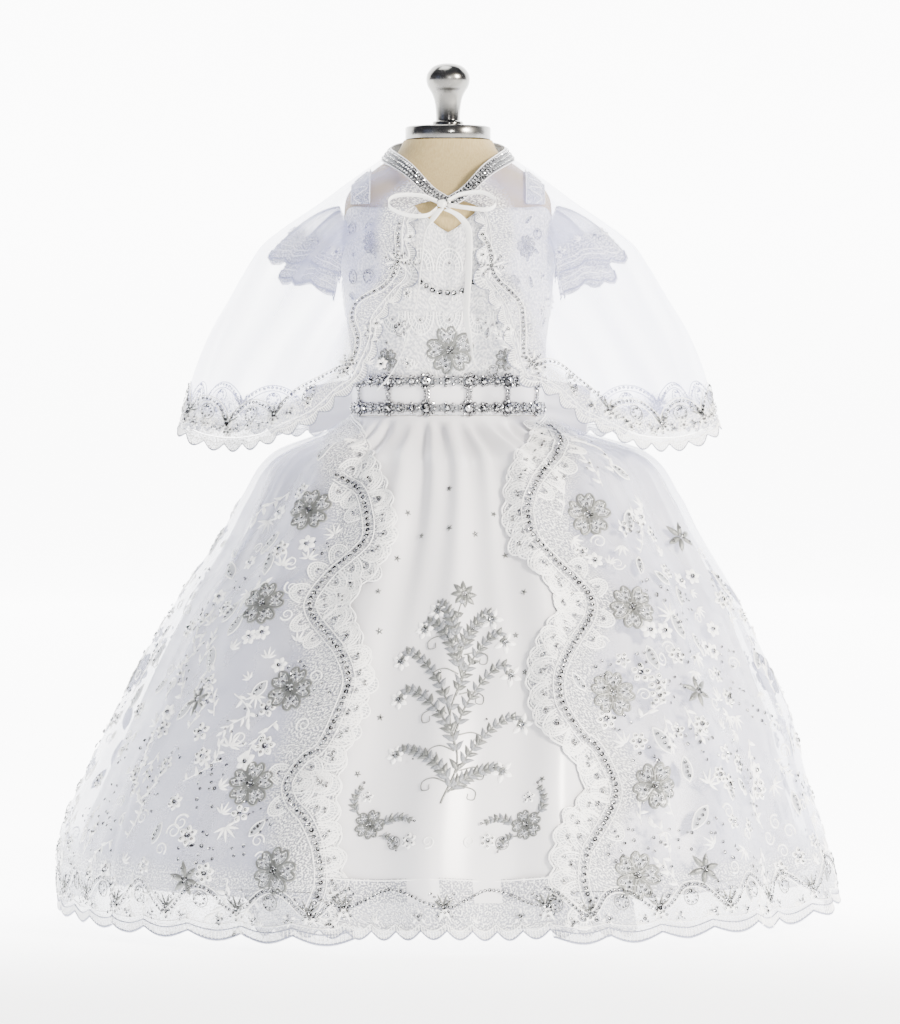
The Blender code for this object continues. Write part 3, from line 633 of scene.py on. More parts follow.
seat = 673.3
capProfile = np.array([(0, 12), (34.6, 12), (36.2, 11.6), (37, 10.6), (37, 1), (36.4, 0), (0, 0)]) + [0, seat]
place(turnedPiece("formNeckCap", capProfile, nickel), "pewter", "form_neck_cap")
finialShape = {
    "radius": [0, 4, 8, 12.5, 16, 18.2, 18.9, 18.4, 17, 14.9, 13, 11.6, 10.8, 10.4, 10.3],
    "above": [54.5, 54.3, 53.6, 51.8, 48.6, 44.8, 40.8, 37, 33.4, 30, 26.2, 21.5, 16, 10, 4.6],
}
knob = rounded(list(zip(finialShape["radius"], finialShape["above"])))
foot = np.array([(12.6, 4.1), (13.3, 3.4), (13.4, 0.6), (12.8, 0), (0, 0)])
knob = np.concatenate([knob, foot]) + [0, seat + 12.3]
place(turnedPiece("formFinial", knob, nickel), "pewter", "form_finial")
for name in ("form_base", "form_pole"):
    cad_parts[name].data.materials.clear()
    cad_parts[name].data.materials.append(nickel)
print("the dress form is made")


# Satin skirt

satinHem = 0.93
angles, shares = np.meshgrid(np.linspace(-math.pi, math.pi, 421), np.linspace(0, 1, 77) ** 1.25 * satinHem)
skirtGrid = skirtPoint(angles, shares, 0.0, 1.0)
satinSkirt = clothPiece("satinSkirt", skirtGrid, satin)
place(satinSkirt, "satin", "underskirt_front", "underskirt_back")
declare(satinSkirt, skirtGrid)


# Lace overskirt, open in front, and its scalloped hem

centreBack = math.pi - 0.0014
hemSeam = 0.915
scallops = {"pitch": 20.0, "edgeDepth": 4.5, "hemDepth": 7.0, "aSide": 19, "inFront": 16}


def frontScallop(side, shares, start, section, pitch, depth):
    # how far in millimetres each row's edge is cut back, in even scallops along the open front edge
    line = section(side * start, shares)
    along = distances(line)
    count = round(along[-1] / pitch)
    return depth * (1 - np.abs(np.sin(math.pi * along / along[-1] * count)))


frontEdges = {}
for word, side in (("Left", -1), ("Right", 1)):
    shares = np.linspace(0, 1, 181) ** 1.1 * hemSeam
    start = overskirtStart(side, shares)
    cutBack = frontScallop(side, shares, start, overskirtPoint, scallops["pitch"], scallops["edgeDepth"])
    start = start + cutBack * softStep(0.02, 0.06, shares) / (read(skirt, "halfWidth", shares) * np.cos(start))
    part = np.linspace(0, 1, 131) ** 1.12
    angles = side * (start[:, None] + (centreBack - start[:, None]) * part[None, :])
    angles = angles[:, ::side]
    rows = np.repeat(shares[:, None], len(part), 1)
    grid = overskirtPoint(angles, rows)
    frontEdges[side] = np.column_stack([side * start, shares])
    fromEdge = np.abs(np.abs(angles) - start[:, None]) * read(skirt, "halfWidth", shares)[:, None]
    strip = 1 - softStep(46, 74, fromEdge)
    dense = 0.42 * strip + 0.05 * softStep(0.35, 0.95, rows) + 0.3 * softStep(0.86, 0.9, rows)
    piece = clothPiece(f"overskirt{word}", grid, organza, values={"dense": dense})
    place(piece, "organza", f"overskirt_{word.lower()}")
    declare(piece, grid)

    columns = scallops["aSide"] * 24
    rowParts = np.linspace(0, 1, 11)
    start = overskirtStart(side, np.array(hemSeam))
    angles = side * np.linspace(start, centreBack, columns + 1)
    drop = scallops["hemDepth"] * np.abs(np.sin(math.pi * np.arange(columns + 1) / 24))
    low = mix(hemSeam + 0.0018, 1.0, rowParts)
    angles, rows = np.meshgrid(angles, low)
    grid = overskirtPoint(angles, rows)
    grid[..., 2] -= drop[None, :] * (rowParts**2)[:, None]
    grid = grid[:, ::side]
    piece = clothPiece(f"hemLace{word}", grid, organza, values={"dense": 0.32 + 0 * rows})
    place(piece, "lace", f"hem_lace_{word.lower()}")
    declare(piece, grid)

span = math.radians(30.1)
angles, rows = np.meshgrid(np.linspace(-span, span, 241), np.linspace(0.885, 0.985, 13))
grid = skirtPoint(angles, rows, 2.0, 0.0)
scallop = np.abs(np.sin(math.pi * np.linspace(0, scallops["inFront"], 241)))
grid[..., 2] -= scallops["hemDepth"] * scallop[None, :] * softStep(satinHem, 0.985, rows)
piece = clothPiece("frontHemLace", grid, organza, values={"dense": 0.4 + 0 * rows})
place(piece, "lace", "front_hem_lace")
declare(piece, grid)
print("the skirts are made")


# Bodice, straps and flutter sleeves

def bodicePoint(angle, share, neckline, ease=2.4):
    top = read(neckline, "height", np.degrees(np.abs(angle)))
    return torsoPoint(angle, mix(waistHeight + 0.3, top, share), ease)


bodiceNodes = {
    "bodiceFront": (-89.8, 89.8, necklineFront, ["bodice_front"]),
    "bodiceBackRight": (90.2, 179.85, necklineBack, ["bodice_back_right"]),
    "bodiceBackLeft": (-179.85, -90.2, necklineBack, ["bodice_back_left"]),
}
for name, (low, high, neckline, nodes) in bodiceNodes.items():
    angles, shares = np.meshgrid(np.radians(np.linspace(low, high, 67)), 1 - np.linspace(0, 1, 25) ** 1.2)
    grid = bodicePoint(angles, shares, neckline)
    piece = clothPiece(name, grid, laceSatin, thick=1.0)
    place(piece, "satin", *nodes)
    declare(piece, grid)

strapLines = {}
for word, side in (("Left", -1), ("Right", 1)):
    lines = []
    for x in np.linspace(67, 83, 13):
        ends = []
        for footHeight, column in ((616, "front"), (627, "back")):
            half = read(torso, "halfWidth", footHeight) + 2.4
            depth = read(torso, column, footHeight) + 2.4
            ends.append(float(depth * max(0.05, 1 - (x / half) ** torsoPower) ** (1 / torsoPower)))
        y = np.linspace(-ends[0], ends[1], 49)
        lines.append(np.stack([side * x + 0 * y, y, shoulderHeight(x + 0 * y, y, 2.4)], -1))
    grid = np.array(lines).transpose(1, 0, 2)
    grid = grid[::-1] if side > 0 else grid
    strapLines[side] = np.array(lines)
    piece = clothPiece(f"strap{word}", grid, organza, thick=0.8, values={"dense": 0.3 + 0 * grid[..., 0]})
    place(piece, "lace", f"strap_{word.lower()}")
    declare(piece, grid)

sleeves = {
    "Upper": {"outTop": 60, "outEnd": 10, "fallTop": 44, "fallEnd": 32, "curve": 1.7, "inside": 0.0},
    "Lower": {"outTop": 51, "outEnd": 13, "fallTop": 58, "fallEnd": 48, "curve": 1.35, "inside": 3.2},
}


def sleevePoint(side, turn, share, size, fine=0.0):
    around, over = np.sin(turn), np.cos(turn)
    y = -(38 - size["inside"]) * around
    height = 588 + (28 - size["inside"]) * over
    start = torsoSide(y, height, 3.8)
    top = np.maximum(0, over) ** 1.3
    out = mix(size["outEnd"], size["outTop"], top)
    fall = mix(size["fallEnd"], size["fallTop"], top)
    wave = 3.0 * share**1.5 * np.cos(6 * turn + 0.6 * side)
    wave = wave + fine * np.cos(31 * turn + 2 * np.sin(3 * turn)) * (0.9 - 0.5 * share)
    reach = share * (1 + 0.05 * np.abs(np.sin(6 * turn)) * softStep(0.6, 1, share))
    x = start + out * reach + wave * 0.5
    height = height - fall * reach ** size["curve"] + wave * over
    return np.stack([side * x, y * (1 + 0.15 * reach) - wave * around, height], -1)


for tier, size in sleeves.items():
    for word, side in (("Left", -1), ("Right", 1)):
        turns = np.radians(np.linspace(100 * side, -100 * side, 145))
        turn, share = np.meshgrid(turns, np.linspace(0, 1, 25))
        grid = sleevePoint(side, turn, share, size, 1.0)
        dense = 0.05 + 0.33 * softStep(0.5, 0.7, share)
        piece = clothPiece(f"sleeve{tier}{word}", grid, organza, values={"dense": dense})
        place(piece, "organza", f"sleeve_{tier.lower()}_{word.lower()}")
        declare(piece, grid)
print("the bodice and sleeves are made")


# Belt and sash

def beltPoint(angle, above, ease):
    return torsoPoint(angle, waistHeight + above, ease)


for name, low, high, node in (("beltBand", -92, 92, "belt_band"), ("sashBack", 92.4, 267.6, "sash_back")):
    angles, above = np.meshgrid(np.radians(np.linspace(low, high, 91)), np.linspace(33, 1.2, 13))
    crease = 0.5 * np.cos((above - 17) / 31.8 * math.pi * 3 + 0.8 * np.sin(angles * 5)) * (name == "sashBack")
    grid = beltPoint(angles, above, 4.4 + crease * 0.8)
    piece = clothPiece(name, grid, satin, thick=1.0)
    place(piece, "satin", node)
    declare(piece, grid)


# Cape halves with their scalloped borders

for word, side in (("Left", -1), ("Right", 1)):
    shares = np.linspace(0, 1, 91)
    start = capeStart(side, shares)
    part = np.linspace(0, 1, 101)
    angles = (side * (start[:, None] + (centreBack - start[:, None]) * part[None, :]))[:, ::side]
    rows = np.repeat(shares[:, None], len(part), 1)
    grid = capePoint(angles, rows)
    fromEdge = np.abs(np.abs(angles) - start[:, None]) * read(cape, "halfWidth", shares)[:, None]
    down = (1 - rows) * 190
    near = np.minimum(fromEdge, down * 1.4)
    dense = 0.42 * (1 - softStep(14, 30, near))
    piece = clothPiece(f"cape{word}", grid, sheerCape, values={"dense": dense})
    place(piece, "organza", f"cape_{word.lower()}")
    declare(piece, grid)

# The scalloped border of each cape half, along its front edge and its hem

capeBorder = {"width": 13.0, "scallop": 7.0, "pitch": 19.0}
capeOutlines = {}
for side in (-1, 1):
    downEdge = np.linspace(0.06, 1, 160)
    roundHem = np.linspace(0, 1, 420)
    firstAngle = capeStart(side, np.array(1.0))
    angles = [side * capeStart(side, downEdge), side * mix(firstAngle, centreBack, roundHem[1:])]
    angles = np.concatenate(angles)
    shares = np.concatenate([downEdge, np.ones(419)])
    line, normals = capePoint(angles, shares), normalOf(capePoint, angles, shares)
    smooth = distances(line)
    along = np.gradient(line, smooth, axis=0)
    away = unit(np.cross(along, normals)) * side
    kernel = np.hanning(31) / np.hanning(31).sum()
    away = unit(np.stack([np.convolve(np.pad(away[:, i], 15, "edge"), kernel, "valid") for i in range(3)], -1))
    capeOutlines[side] = (smooth / smooth[-1], line, away, smooth[-1])


def capeLacePoint(first, second):
    # first is the share of the way along the border, negative on the left half; second runs outwards
    result = np.zeros(np.shape(first) + (3,))
    for side, (share, line, away, length) in capeOutlines.items():
        chosen = np.asarray(first) * side >= 0
        at = np.clip(np.abs(first), 0, 1)
        base = np.stack([np.interp(at, share, line[:, i]) for i in range(3)], -1)
        out = unit(np.stack([np.interp(at, share, away[:, i]) for i in range(3)], -1))
        count = round(length / capeBorder["pitch"])
        drop = capeBorder["scallop"] * np.abs(np.sin(math.pi * at * count))
        reach = 0.6 + second * (capeBorder["width"] - capeBorder["scallop"] - 0.6) + drop * second**2
        result = np.where(chosen[..., None], base + out * reach[..., None], result)
    return result


for word, side in (("Left", -1), ("Right", 1)):
    at, part = np.meshgrid(side * np.linspace(0.0001, 1, 461), np.linspace(0, 1, 7))
    grid = capeLacePoint(at, part)[:, ::side]
    piece = clothPiece(f"capeLace{word}", grid, sheerCape, values={"dense": 0.42 + 0 * part})
    place(piece, "lace", f"cape_lace_{word.lower()}")
    declare(piece, grid)
print("the cape is made")


# Embroidery: motifs drawn flat in millimetres, then laid on the cloth

def overskirtSheet(angle, share):
    # the overskirt with its scalloped hem, as one surface
    side = np.where(np.asarray(angle) < 0, -1, 1)
    starts = {s: float(overskirtStart(s, np.array(hemSeam))) for s in (-1, 1)}
    start = np.where(side < 0, starts[-1], starts[1])
    column = (np.abs(angle) - start) / (centreBack - start) * scallops["aSide"]
    point = overskirtPoint(angle, share)
    drop = scallops["hemDepth"] * np.abs(np.sin(math.pi * column))
    point[..., 2] -= drop * np.clip((share - hemSeam) / (1 - hemSeam), 0, 1) ** 2
    return point


def satinSheet(angle, share):
    return skirtPoint(angle, share, 0.0, 1.0)


def frontHemSheet(angle, share):
    point = skirtPoint(angle, share, 2.0, 0.0)
    scallop = np.abs(np.sin(math.pi * (angle + span) / (2 * span) * scallops["inFront"]))
    point[..., 2] -= scallops["hemDepth"] * scallop * softStep(satinHem, 0.985, share)
    return point


def bodiceSheet(angle, share):
    # the angle is eased so that motifs keep their width near the middle of the squared section
    side = np.abs(np.sin(angle)) ** (torsoPower / 2)
    eased = np.where(np.cos(angle) > 0, np.arcsin(side), math.pi - np.arcsin(side))
    eased = eased * np.sign(np.sin(angle) + 1e-12)
    return torsoPoint(eased, mix(613, waistHeight + 0.3, share), 2.4)


def sleeveSheet(side, size):
    return lambda angle, share: sleevePoint(side, -side * angle, share, size, 1.0)


surfaces = {
    "over": overskirtSheet,
    "satin": satinSheet,
    "frontHem": frontHemSheet,
    "bodice": bodiceSheet,
    "cape": capePoint,
    "capeLace": capeLacePoint,
    "sleeveUpperLeft": sleeveSheet(-1, sleeves["Upper"]),
    "sleeveUpperRight": sleeveSheet(1, sleeves["Upper"]),
    "sleeveLowerLeft": sleeveSheet(-1, sleeves["Lower"]),
    "sleeveLowerRight": sleeveSheet(1, sleeves["Lower"]),
}
stitches, discs, seenGrids = {}, {}, {}


def metric(surface, angle, share, step=0.012):
    point = surfaces[surface]
    low, high = np.maximum(share - step, 0), np.minimum(share + step, 1)
    across = np.linalg.norm(point(angle + step, share) - point(angle - step, share), axis=-1) / (2 * step)
    down = np.linalg.norm(point(angle, high) - point(angle, low), axis=-1) / (high - low)
    return across, down


# the front picture in pixels: its middle column and row, and the row of the level that heights are taken from
picture = {"height": 1024, "column": 448, "row": 512, "levelRow": 410, "level": 440, "mmPerPixel": 0.868}


def toPixel(points):
    pitch = math.radians(view["pitch"])
    focal = view["lens"] / camera.data.sensor_width * picture["height"]
    offset = points - np.array([0, -view["distance"], view["height"]]) / mm
    far = offset @ np.array([0, math.cos(pitch), -math.sin(pitch)])
    up = offset @ np.array([0, math.sin(pitch), math.cos(pitch)])
    return np.stack([picture["column"] + focal * offset[..., 0] / far, picture["row"] - focal * up / far], -1)


def seen(surface, places):
    # the angle and share at which the cloth lies behind each place of the front view, in mm on the middle plane
    places = np.array(places, float)
    scale = picture["mmPerPixel"]
    rows = picture["levelRow"] - (places[:, 1] - picture["level"]) / scale
    target = np.stack([picture["column"] + places[:, 0] / scale, rows], -1)
    point = surfaces[surface]
    if surface not in seenGrids:
        grid = np.stack(np.meshgrid(np.linspace(-1.5, 1.5, 241), np.linspace(0.0, 1.0, 161)), -1).reshape(-1, 2)
        seenGrids[surface] = grid, toPixel(point(grid[:, 0], grid[:, 1]))
    grid, pixels = seenGrids[surface]
    found = np.array([grid[np.argmin(((pixels - t) ** 2).sum(1))] for t in target])
    for _ in range(3):
        h = 0.004
        here = toPixel(point(found[:, 0], found[:, 1]))
        byAngle = (toPixel(point(found[:, 0] + h, found[:, 1])) - here) / h
        byShare = (toPixel(point(found[:, 0], found[:, 1] - h)) - here) / -h
        gap = target - here
        det = byAngle[:, 0] * byShare[:, 1] - byAngle[:, 1] * byShare[:, 0]
        safe = np.abs(det) > 2e4
        det = np.where(safe, det, 1)
        first = (gap[:, 0] * byShare[:, 1] - gap[:, 1] * byShare[:, 0]) / det
        second = (byAngle[:, 0] * gap[:, 1] - byAngle[:, 1] * gap[:, 0]) / det
        found[:, 0] += np.clip(np.where(safe, first, 0), -0.02, 0.02)
        found[:, 1] = np.clip(found[:, 1] + np.clip(np.where(safe, second, 0), -0.02, 0.02), 0, 1)
    return found


def curve(points, per=6):
    points = np.array(points, float)
    table = {"at": list(range(len(points)))}
    table.update({i: points[:, i] for i in range(points.shape[1])})
    at = np.linspace(0, len(points) - 1, per * (len(points) - 1) + 1)
    return np.stack([read(table, i, at) for i in range(points.shape[1])], 1)


class Motif:
    # strips and discs in millimetres, with the thread or disc that each is made of
    def __init__(self):
        self.strips = []
        self.discs = []

    def strip(self, thread, points, width, height=0.7, columns=3, base=0.25):
        points = np.array(points, float)
        along = unit(np.gradient(points, axis=0))
        cross = np.stack([-along[:, 1], along[:, 0]], 1)
        width = np.broadcast_to(np.asarray(width, float), len(points))
        parts = np.linspace(-0.5, 0.5, columns)
        grid = np.empty((len(points), columns, 3))
        grid[..., :2] = points[:, None] + cross[:, None] * (width[:, None] * parts)[..., None]
        full = np.minimum(1, width / max(width.max(), 1e-6))[:, None]
        grid[..., 2] = base + height * (1 - (2 * parts) ** 2) * full
        self.strips.append((thread, grid))

    def leaf(self, thread, start, end, width, height=0.9, bend=0.0, columns=3, blunt=0.6):
        start, end = np.array(start, float), np.array(end, float)
        along = end - start
        cross = np.array([-along[1], along[0]])
        part = np.linspace(0, 1, 6)
        points = start + along * part[:, None] + cross * (bend * np.sin(math.pi * part))[:, None]
        shape = np.sin(math.pi * np.clip(part, 0.02, 0.985) ** blunt) ** 0.8
        self.strip(thread, points, width * shape + 0.1, height, columns)

    def fill(self, thread, outline, height=0.6, base=0.15):
        outline = np.array(outline, float)
        middle = outline.mean(0)
        rings = [outline, mix(outline, middle, 0.45), mix(outline, middle, 0.999)]
        levels = base + height * np.array([0, 0.8, 1])
        raised = [np.column_stack([ring, np.full(len(ring), z)]) for z, ring in zip(levels, rings)]
        self.strips.append((thread, np.stack(raised, 1)))

    def disc(self, u, v, radius, kind="sequin"):
        self.discs.append((kind, u, v, radius))


def stamp(motif, surface, angle, share, turn=0.0, size=1.0, flip=1):
    across, down = (float(value) for value in metric(surface, np.array(angle), np.array(share)))
    c, s = math.cos(turn), math.sin(turn)

    def laid(u, v):
        u = u * flip
        return angle + (u * c - v * s) * size / across, share - (u * s + v * c) * size / down

    for thread, grid in motif.strips:
        first, second = laid(grid[..., 0], grid[..., 1])
        stitches.setdefault((surface, thread), []).append(np.stack([first, second, grid[..., 2]], -1))
    for kind, u, v, radius in motif.discs:
        first, second = laid(u, v)
        discs.setdefault((surface, kind), []).append((first, second, radius * size, 0.9))


def pathOn(surface, angles, shares, per=8):
    # a smooth path over the cloth, with its length in millimetres at each point
    line = curve(np.column_stack([angles, shares]), per)
    points = surfaces[surface](line[:, 0], line[:, 1])
    length = distances(points)
    return line, length


def evenly(line, length, pitch, inset=0.0):
    count = max(1, round((length[-1] - 2 * inset) / pitch))
    at = np.linspace(inset, length[-1] - inset, count + 1)
    return np.stack([np.interp(at, length, line[:, i]) for i in range(2)], 1)


def threadAlong(surface, thread, line, width, height=0.8, offset=0.0, base=0.25, columns=3):
    across, down = metric(surface, line[:, 0], line[:, 1])
    flat = np.stack([np.gradient(line[:, 0]) * across, -np.gradient(line[:, 1]) * down], 1)
    along = unit(flat)
    cross = np.stack([-along[:, 1], along[:, 0]], 1)
    parts = np.linspace(-0.5, 0.5, columns)
    reach = offset + np.asarray(width, float) * parts
    grid = np.empty((len(line), columns, 3))
    grid[..., 0] = line[:, None, 0] + cross[:, None, 0] * reach / across[:, None]
    grid[..., 1] = line[:, None, 1] - cross[:, None, 1] * reach / down[:, None]
    grid[..., 2] = base + height * (1 - (2 * parts) ** 2)
    stitches.setdefault((surface, thread), []).append(grid)


def discsAlong(surface, line, length, pitch, radius, kind="sequin", inset=0.0):
    for angle, share in evenly(line, length, pitch, inset):
        discs.setdefault((surface, kind), []).append((angle, share, radius * rng.uniform(0.94, 1.06), 0.9))


def arc(centre, radiusU, radiusV, low, high, count=13):
    turns = np.radians(np.linspace(low, high, count))
    return np.column_stack([centre[0] + radiusU * np.cos(turns), centre[1] + radiusV * np.sin(turns)])


def rotated(points, turn):
    c, s = math.cos(turn), math.sin(turn)
    points = np.array(points, float)
    return np.column_stack([points[:, 0] * c - points[:, 1] * s, points[:, 0] * s + points[:, 1] * c])


# The motifs

heart = [(0, 1.6), (3.4, 5.2), (6.6, 10.2), (7.4, 14.6), (5.6, 18.2), (2.6, 18.4), (0, 15.6)]
heart = heart + [(-x, y) for x, y in heart[-2::-1]]


def heartFlower(outer="silver", inner="net"):
    flower = Motif()
    for i in range(5):
        turn = 2 * math.pi * i / 5 + rng.uniform(-0.06, 0.06)
        outline = rotated(curve(heart, 4), turn)
        flower.fill(inner, outline, 0.5, 0.2)
        flower.strip(outer, outline, 2.5, 1.2, 3, 0.3)
        for part in np.linspace(0.12, 0.88, 7):
            edge = outline[int(part * (len(outline) - 1))]
            root, tip = mix(edge, outline.mean(0), 0.62), mix(edge, outline.mean(0), 0.12)
            flower.strip("white", [root, mix(root, tip, 0.5), tip], 0.7, 0.6, 3, 0.7)
        flower.strip(outer, mix(outline, outline.mean(0), 0.3), 0.9, 0.7, 3, 0.6)
        for lean in (-0.42, -0.14, 0.14, 0.42):
            vein = curve([(0, 1), (4 * math.sin(lean), 5), (9.5 * math.sin(lean), 9.5)], 3)
            flower.strip(outer, rotated(vein, turn), 0.8, 0.6, 3, 0.7)
        for u, v in ((-2.5, 13), (2.6, 13.4), (0.2, 9.6)):
            u, v = rotated([(u, v)], turn)[0]
            flower.disc(u, v, 1.45)
    for i in range(4):
        flower.disc(2.2 * math.cos(i * 1.57 + 0.5), 2.2 * math.sin(i * 1.57 + 0.5), 1.7)
    flower.disc(0, 0, 1.5)
    return flower


def leafStar(points=6, thread="silver"):
    star = Motif()
    for i in range(points):
        turn = 2 * math.pi * i / points + rng.uniform(-0.1, 0.1)
        long = rng.uniform(13, 16.5)
        tip = rotated([(0, long)], turn)[0]
        root = rotated([(0, 1.5)], turn)[0]
        star.leaf(thread, root, tip, 5.4, 1.3, 0.0, 5, 0.75)
        u, v = rotated([(0, long * 0.62)], turn)[0]
        if i % 2:
            star.disc(u, v, 1.3)
    for i in range(3):
        star.disc(1.9 * math.cos(i * 2.09), 1.9 * math.sin(i * 2.09), 1.75)
    return star


def daisy(petals=6, ring=False, size=1.0):
    flower = Motif()
    for i in range(petals):
        turn = 2 * math.pi * i / petals
        root, tip = rotated([(0, 1.8 * size), (0, 7.4 * size)], turn)
        flower.leaf("white", root, tip, 4.6 * size, 1.1, 0.0, 3, 0.9)
        if ring:
            u, v = rotated([(0, 4.6 * size)], turn)[0]
            flower.disc(u, v, 1.15 * size)
    flower.disc(0, 0, 2.0 * size)
    return flower


def spray(long=34, leaves=7, bend=0.25, dots=2):
    motif = Motif()
    stem = curve(long * np.array([(0, 0), (bend * 0.7, 0.35), (bend, 0.7), (bend * 0.6, 1)]), 5)
    motif.strip("white", stem, 0.9, 0.6)
    for i in range(leaves):
        part = (i + 1) / (leaves + 0.6)
        u, v = stem[int(part * (len(stem) - 1))]
        lean = (1 if i % 2 else -1) * rng.uniform(0.5, 1.0)
        reach = rng.uniform(5.5, 8.5)
        tip = (u + reach * math.sin(lean), v + reach * math.cos(lean))
        motif.leaf("white", (u, v), tip, rng.uniform(2.2, 3.2), 1.1, 0.06)
    u, v = stem[-1]
    motif.leaf("white", (u, v), (u, v + 6), 3.0, 1.2)
    for i in range(dots):
        motif.disc(rng.uniform(-7, 7) + long * bend, rng.uniform(0.3, 0.95) * long, 1.25)
    return motif


def feather(count=5, long=11, spread=1.2):
    motif = Motif()
    for i in range(count):
        lean = (i / (count - 1) - 0.5) * 2 * spread
        reach = long * (1 - 0.25 * abs(lean) / spread)
        tip = (reach * math.sin(lean), reach * math.cos(lean))
        motif.leaf("white", (0.8 * math.sin(lean), 0), tip, 1.9, 1.2)
    return motif


def veinedLeaf(long=23, wide=9, thread="net", edge="white"):
    motif = Motif()
    side = curve(np.array([(0, 0), (0.42, 0.25), (0.5, 0.55), (0.25, 0.85), (0, 1)]) * [wide, long], 4)
    outline = np.concatenate([side, side[::-1] * [-1, 1]])
    motif.fill(thread, outline, 0.7, 0.2)
    motif.strip(edge, outline, 1.1, 0.7)
    for i in range(4):
        motif.disc(0.4 * (-1) ** i, long * (0.22 + 0.18 * i), 1.35)
    return motif


def shell(wide=19.5, tall=15.0, dots=2, combs=11):
    # a scale of concentric arcs with comb stitches between them
    motif = Motif()
    for k, part in enumerate((1.0, 0.8, 0.5)):
        points = arc((0, 0), wide / 2 * part, tall * part, -8, 188, 15)
        motif.strip("white", points, (1.5, 0.8, 1.1)[k], (1.0, 0.6, 0.8)[k])
    for low, high, count in ((0.5, 0.8, combs), (0.8, 1.0, combs)):
        for turn in np.radians(np.linspace(4, 176, count)):
            ends = [(wide / 2 * p * math.cos(turn), tall * p * math.sin(turn)) for p in (low, high)]
            motif.strip("white", ends, 0.8, 0.6)
    motif.fill("net", arc((0, 0), wide / 2, tall, -8, 188, 15), 0.25, 0.05)
    for i in range(dots):
        motif.disc((i - (dots - 1) / 2) * 2.7, tall * 0.26, 1.3)
    return motif


def dragonfly():
    motif = Motif()
    for lean in (-0.62, 0.62):
        for i in range(4):
            reach = 4.5 + 4.1 * i
            motif.disc(reach * math.sin(lean) * (1 + 0.06 * i), reach * math.cos(lean), 1.6)
    for lean in (-0.8, 0.8):
        for i in range(2):
            reach = 5 + 4.2 * i
            motif.disc(reach * math.sin(lean), -reach * math.cos(lean), 1.6)
    for lean in (-0.9, -0.35, 0.35, 0.9):
        motif.leaf("silver", (0, 0), (15 * math.sin(lean), 15 * math.cos(lean)), 2.6, 0.8)
    for lean in (-0.5, 0, 0.5):
        motif.leaf("white", (0, -1), (13 * math.sin(lean), -13 * math.cos(lean)), 4.2, 0.9)
    motif.disc(0, 0, 2.5)
    motif.disc(0, -5.5, 1.6)
    motif.disc(0, -10, 1.6)
    return motif


def ringOfDiscs(count=8, radius=5.2):
    motif = Motif()
    for i in range(count):
        turn = 2 * math.pi * i / count + math.pi / 2
        motif.disc(radius * math.cos(turn), radius * math.sin(turn), 1.5 if i else 2.3)
    motif.strip("silver", arc((0, 0), radius + 2.6, radius + 2.6, 0, 360, 21), 0.8, 0.5)
    return motif


def trefoil():
    motif = Motif()
    motif.disc(0, 0, 2.1)
    for turn in (0.5, 2.6, 4.7):
        motif.disc(3.6 * math.cos(turn), 3.6 * math.sin(turn), 1.4)
        way = np.array([math.cos(turn + 1), math.sin(turn + 1)])
        motif.leaf("white", 3 * way, 7 * way, 2.6)
    return motif


def scatterDots(count=5, spread=9):
    motif = Motif()
    for i in range(count):
        turn = 2 * math.pi * i / count + rng.uniform(-0.4, 0.4)
        reach = spread * rng.uniform(0.5, 1.0)
        motif.disc(reach * math.cos(turn), reach * math.sin(turn), rng.uniform(1.2, 1.7))
    return motif


def stitchedStar(size=2.9):
    star = Motif()
    for i in range(5):
        turn = 2 * math.pi * i / 5 + 0.3
        star.leaf("silver", (0, 0), (size * math.cos(turn), size * math.sin(turn)), 1.3, 0.7)
    star.disc(0, 0, 0.9)
    return star


def curl(thread="white", turns=1.3, radius=6, flip=1):
    # a scroll that winds up at its end
    motif = Motif()
    turn = np.linspace(0, turns * 2 * math.pi, 26)
    reach = radius * (1 - 0.72 * turn / turn[-1])
    points = np.column_stack([flip * (radius - reach * np.cos(turn)), reach * np.sin(turn)])
    motif.strip(thread, points, np.linspace(1.5, 0.7, 26), 0.9)
    return motif


bigFlowers = [heartFlower() for _ in range(4)]
starFlowers = [leafStar() for _ in range(3)]
daisies = [daisy(6, False), daisy(5, True), daisy(6, True, 1.1)]
sprays = [spray(34, 7, 0.25), spray(28, 6, -0.3), spray(24, 5, 0.1, 3), spray(40, 9, 0.35)]
feathers = [feather(), feather(4, 9, 0.9), feather(6, 12, 1.6)]
leaves = [veinedLeaf(), veinedLeaf(18, 8)]
shells = [shell(), shell(18.5, 14, 1), shell(20.5, 15.5, 2)]
dots = [scatterDots(), scatterDots(4, 7), scatterDots(6, 11)]
curls = [curl(), curl(flip=-1)]


def stampSeen(motif, surface, x, z, turn=0.0, size=1.0, flip=1):
    angle, share = seen(surface, [(x, z)])[0]
    stamp(motif, surface, angle, share, turn, size, flip)


# Lace of the overskirt: the winding line of sequins on each side, with shells along it

windingLine = {
    -1: [(-96, 383), (-77, 371), (-70, 349), (-70, 330), (-79, 318), (-102, 298), (-118, 277),
         (-118, 263), (-103, 243), (-93, 229), (-86, 206), (-94, 180), (-110, 148), (-125, 137),
         (-139, 117), (-136, 100), (-123, 84), (-113, 58), (-111, 28), (-120, 2)],
    1: [(86, 425), (98, 413), (97, 408), (91, 397), (77, 379), (70, 360), (70, 345), (76, 328),
        (93, 309), (111, 292), (123, 277), (123, 261), (111, 241), (103, 227), (97, 211), (97, 193),
        (102, 179), (116, 158), (130, 146), (145, 115), (142, 95), (127, 68), (120, 55), (118, 29),
        (128, -3)],
}
# how far each thing keeps from the panel's open edge, as an angle: millimetres over a radius of 250
clearance = {"shells": 9 / 250, "motifs": 22 / 250, "inner shells": 36 / 250}
placedSpots = []  # points already taken by a motif, each with its radius


def take(surface, angle, share, radius):
    placedSpots.append((surfaces[surface](np.array([angle]), np.array([share]))[0], radius))


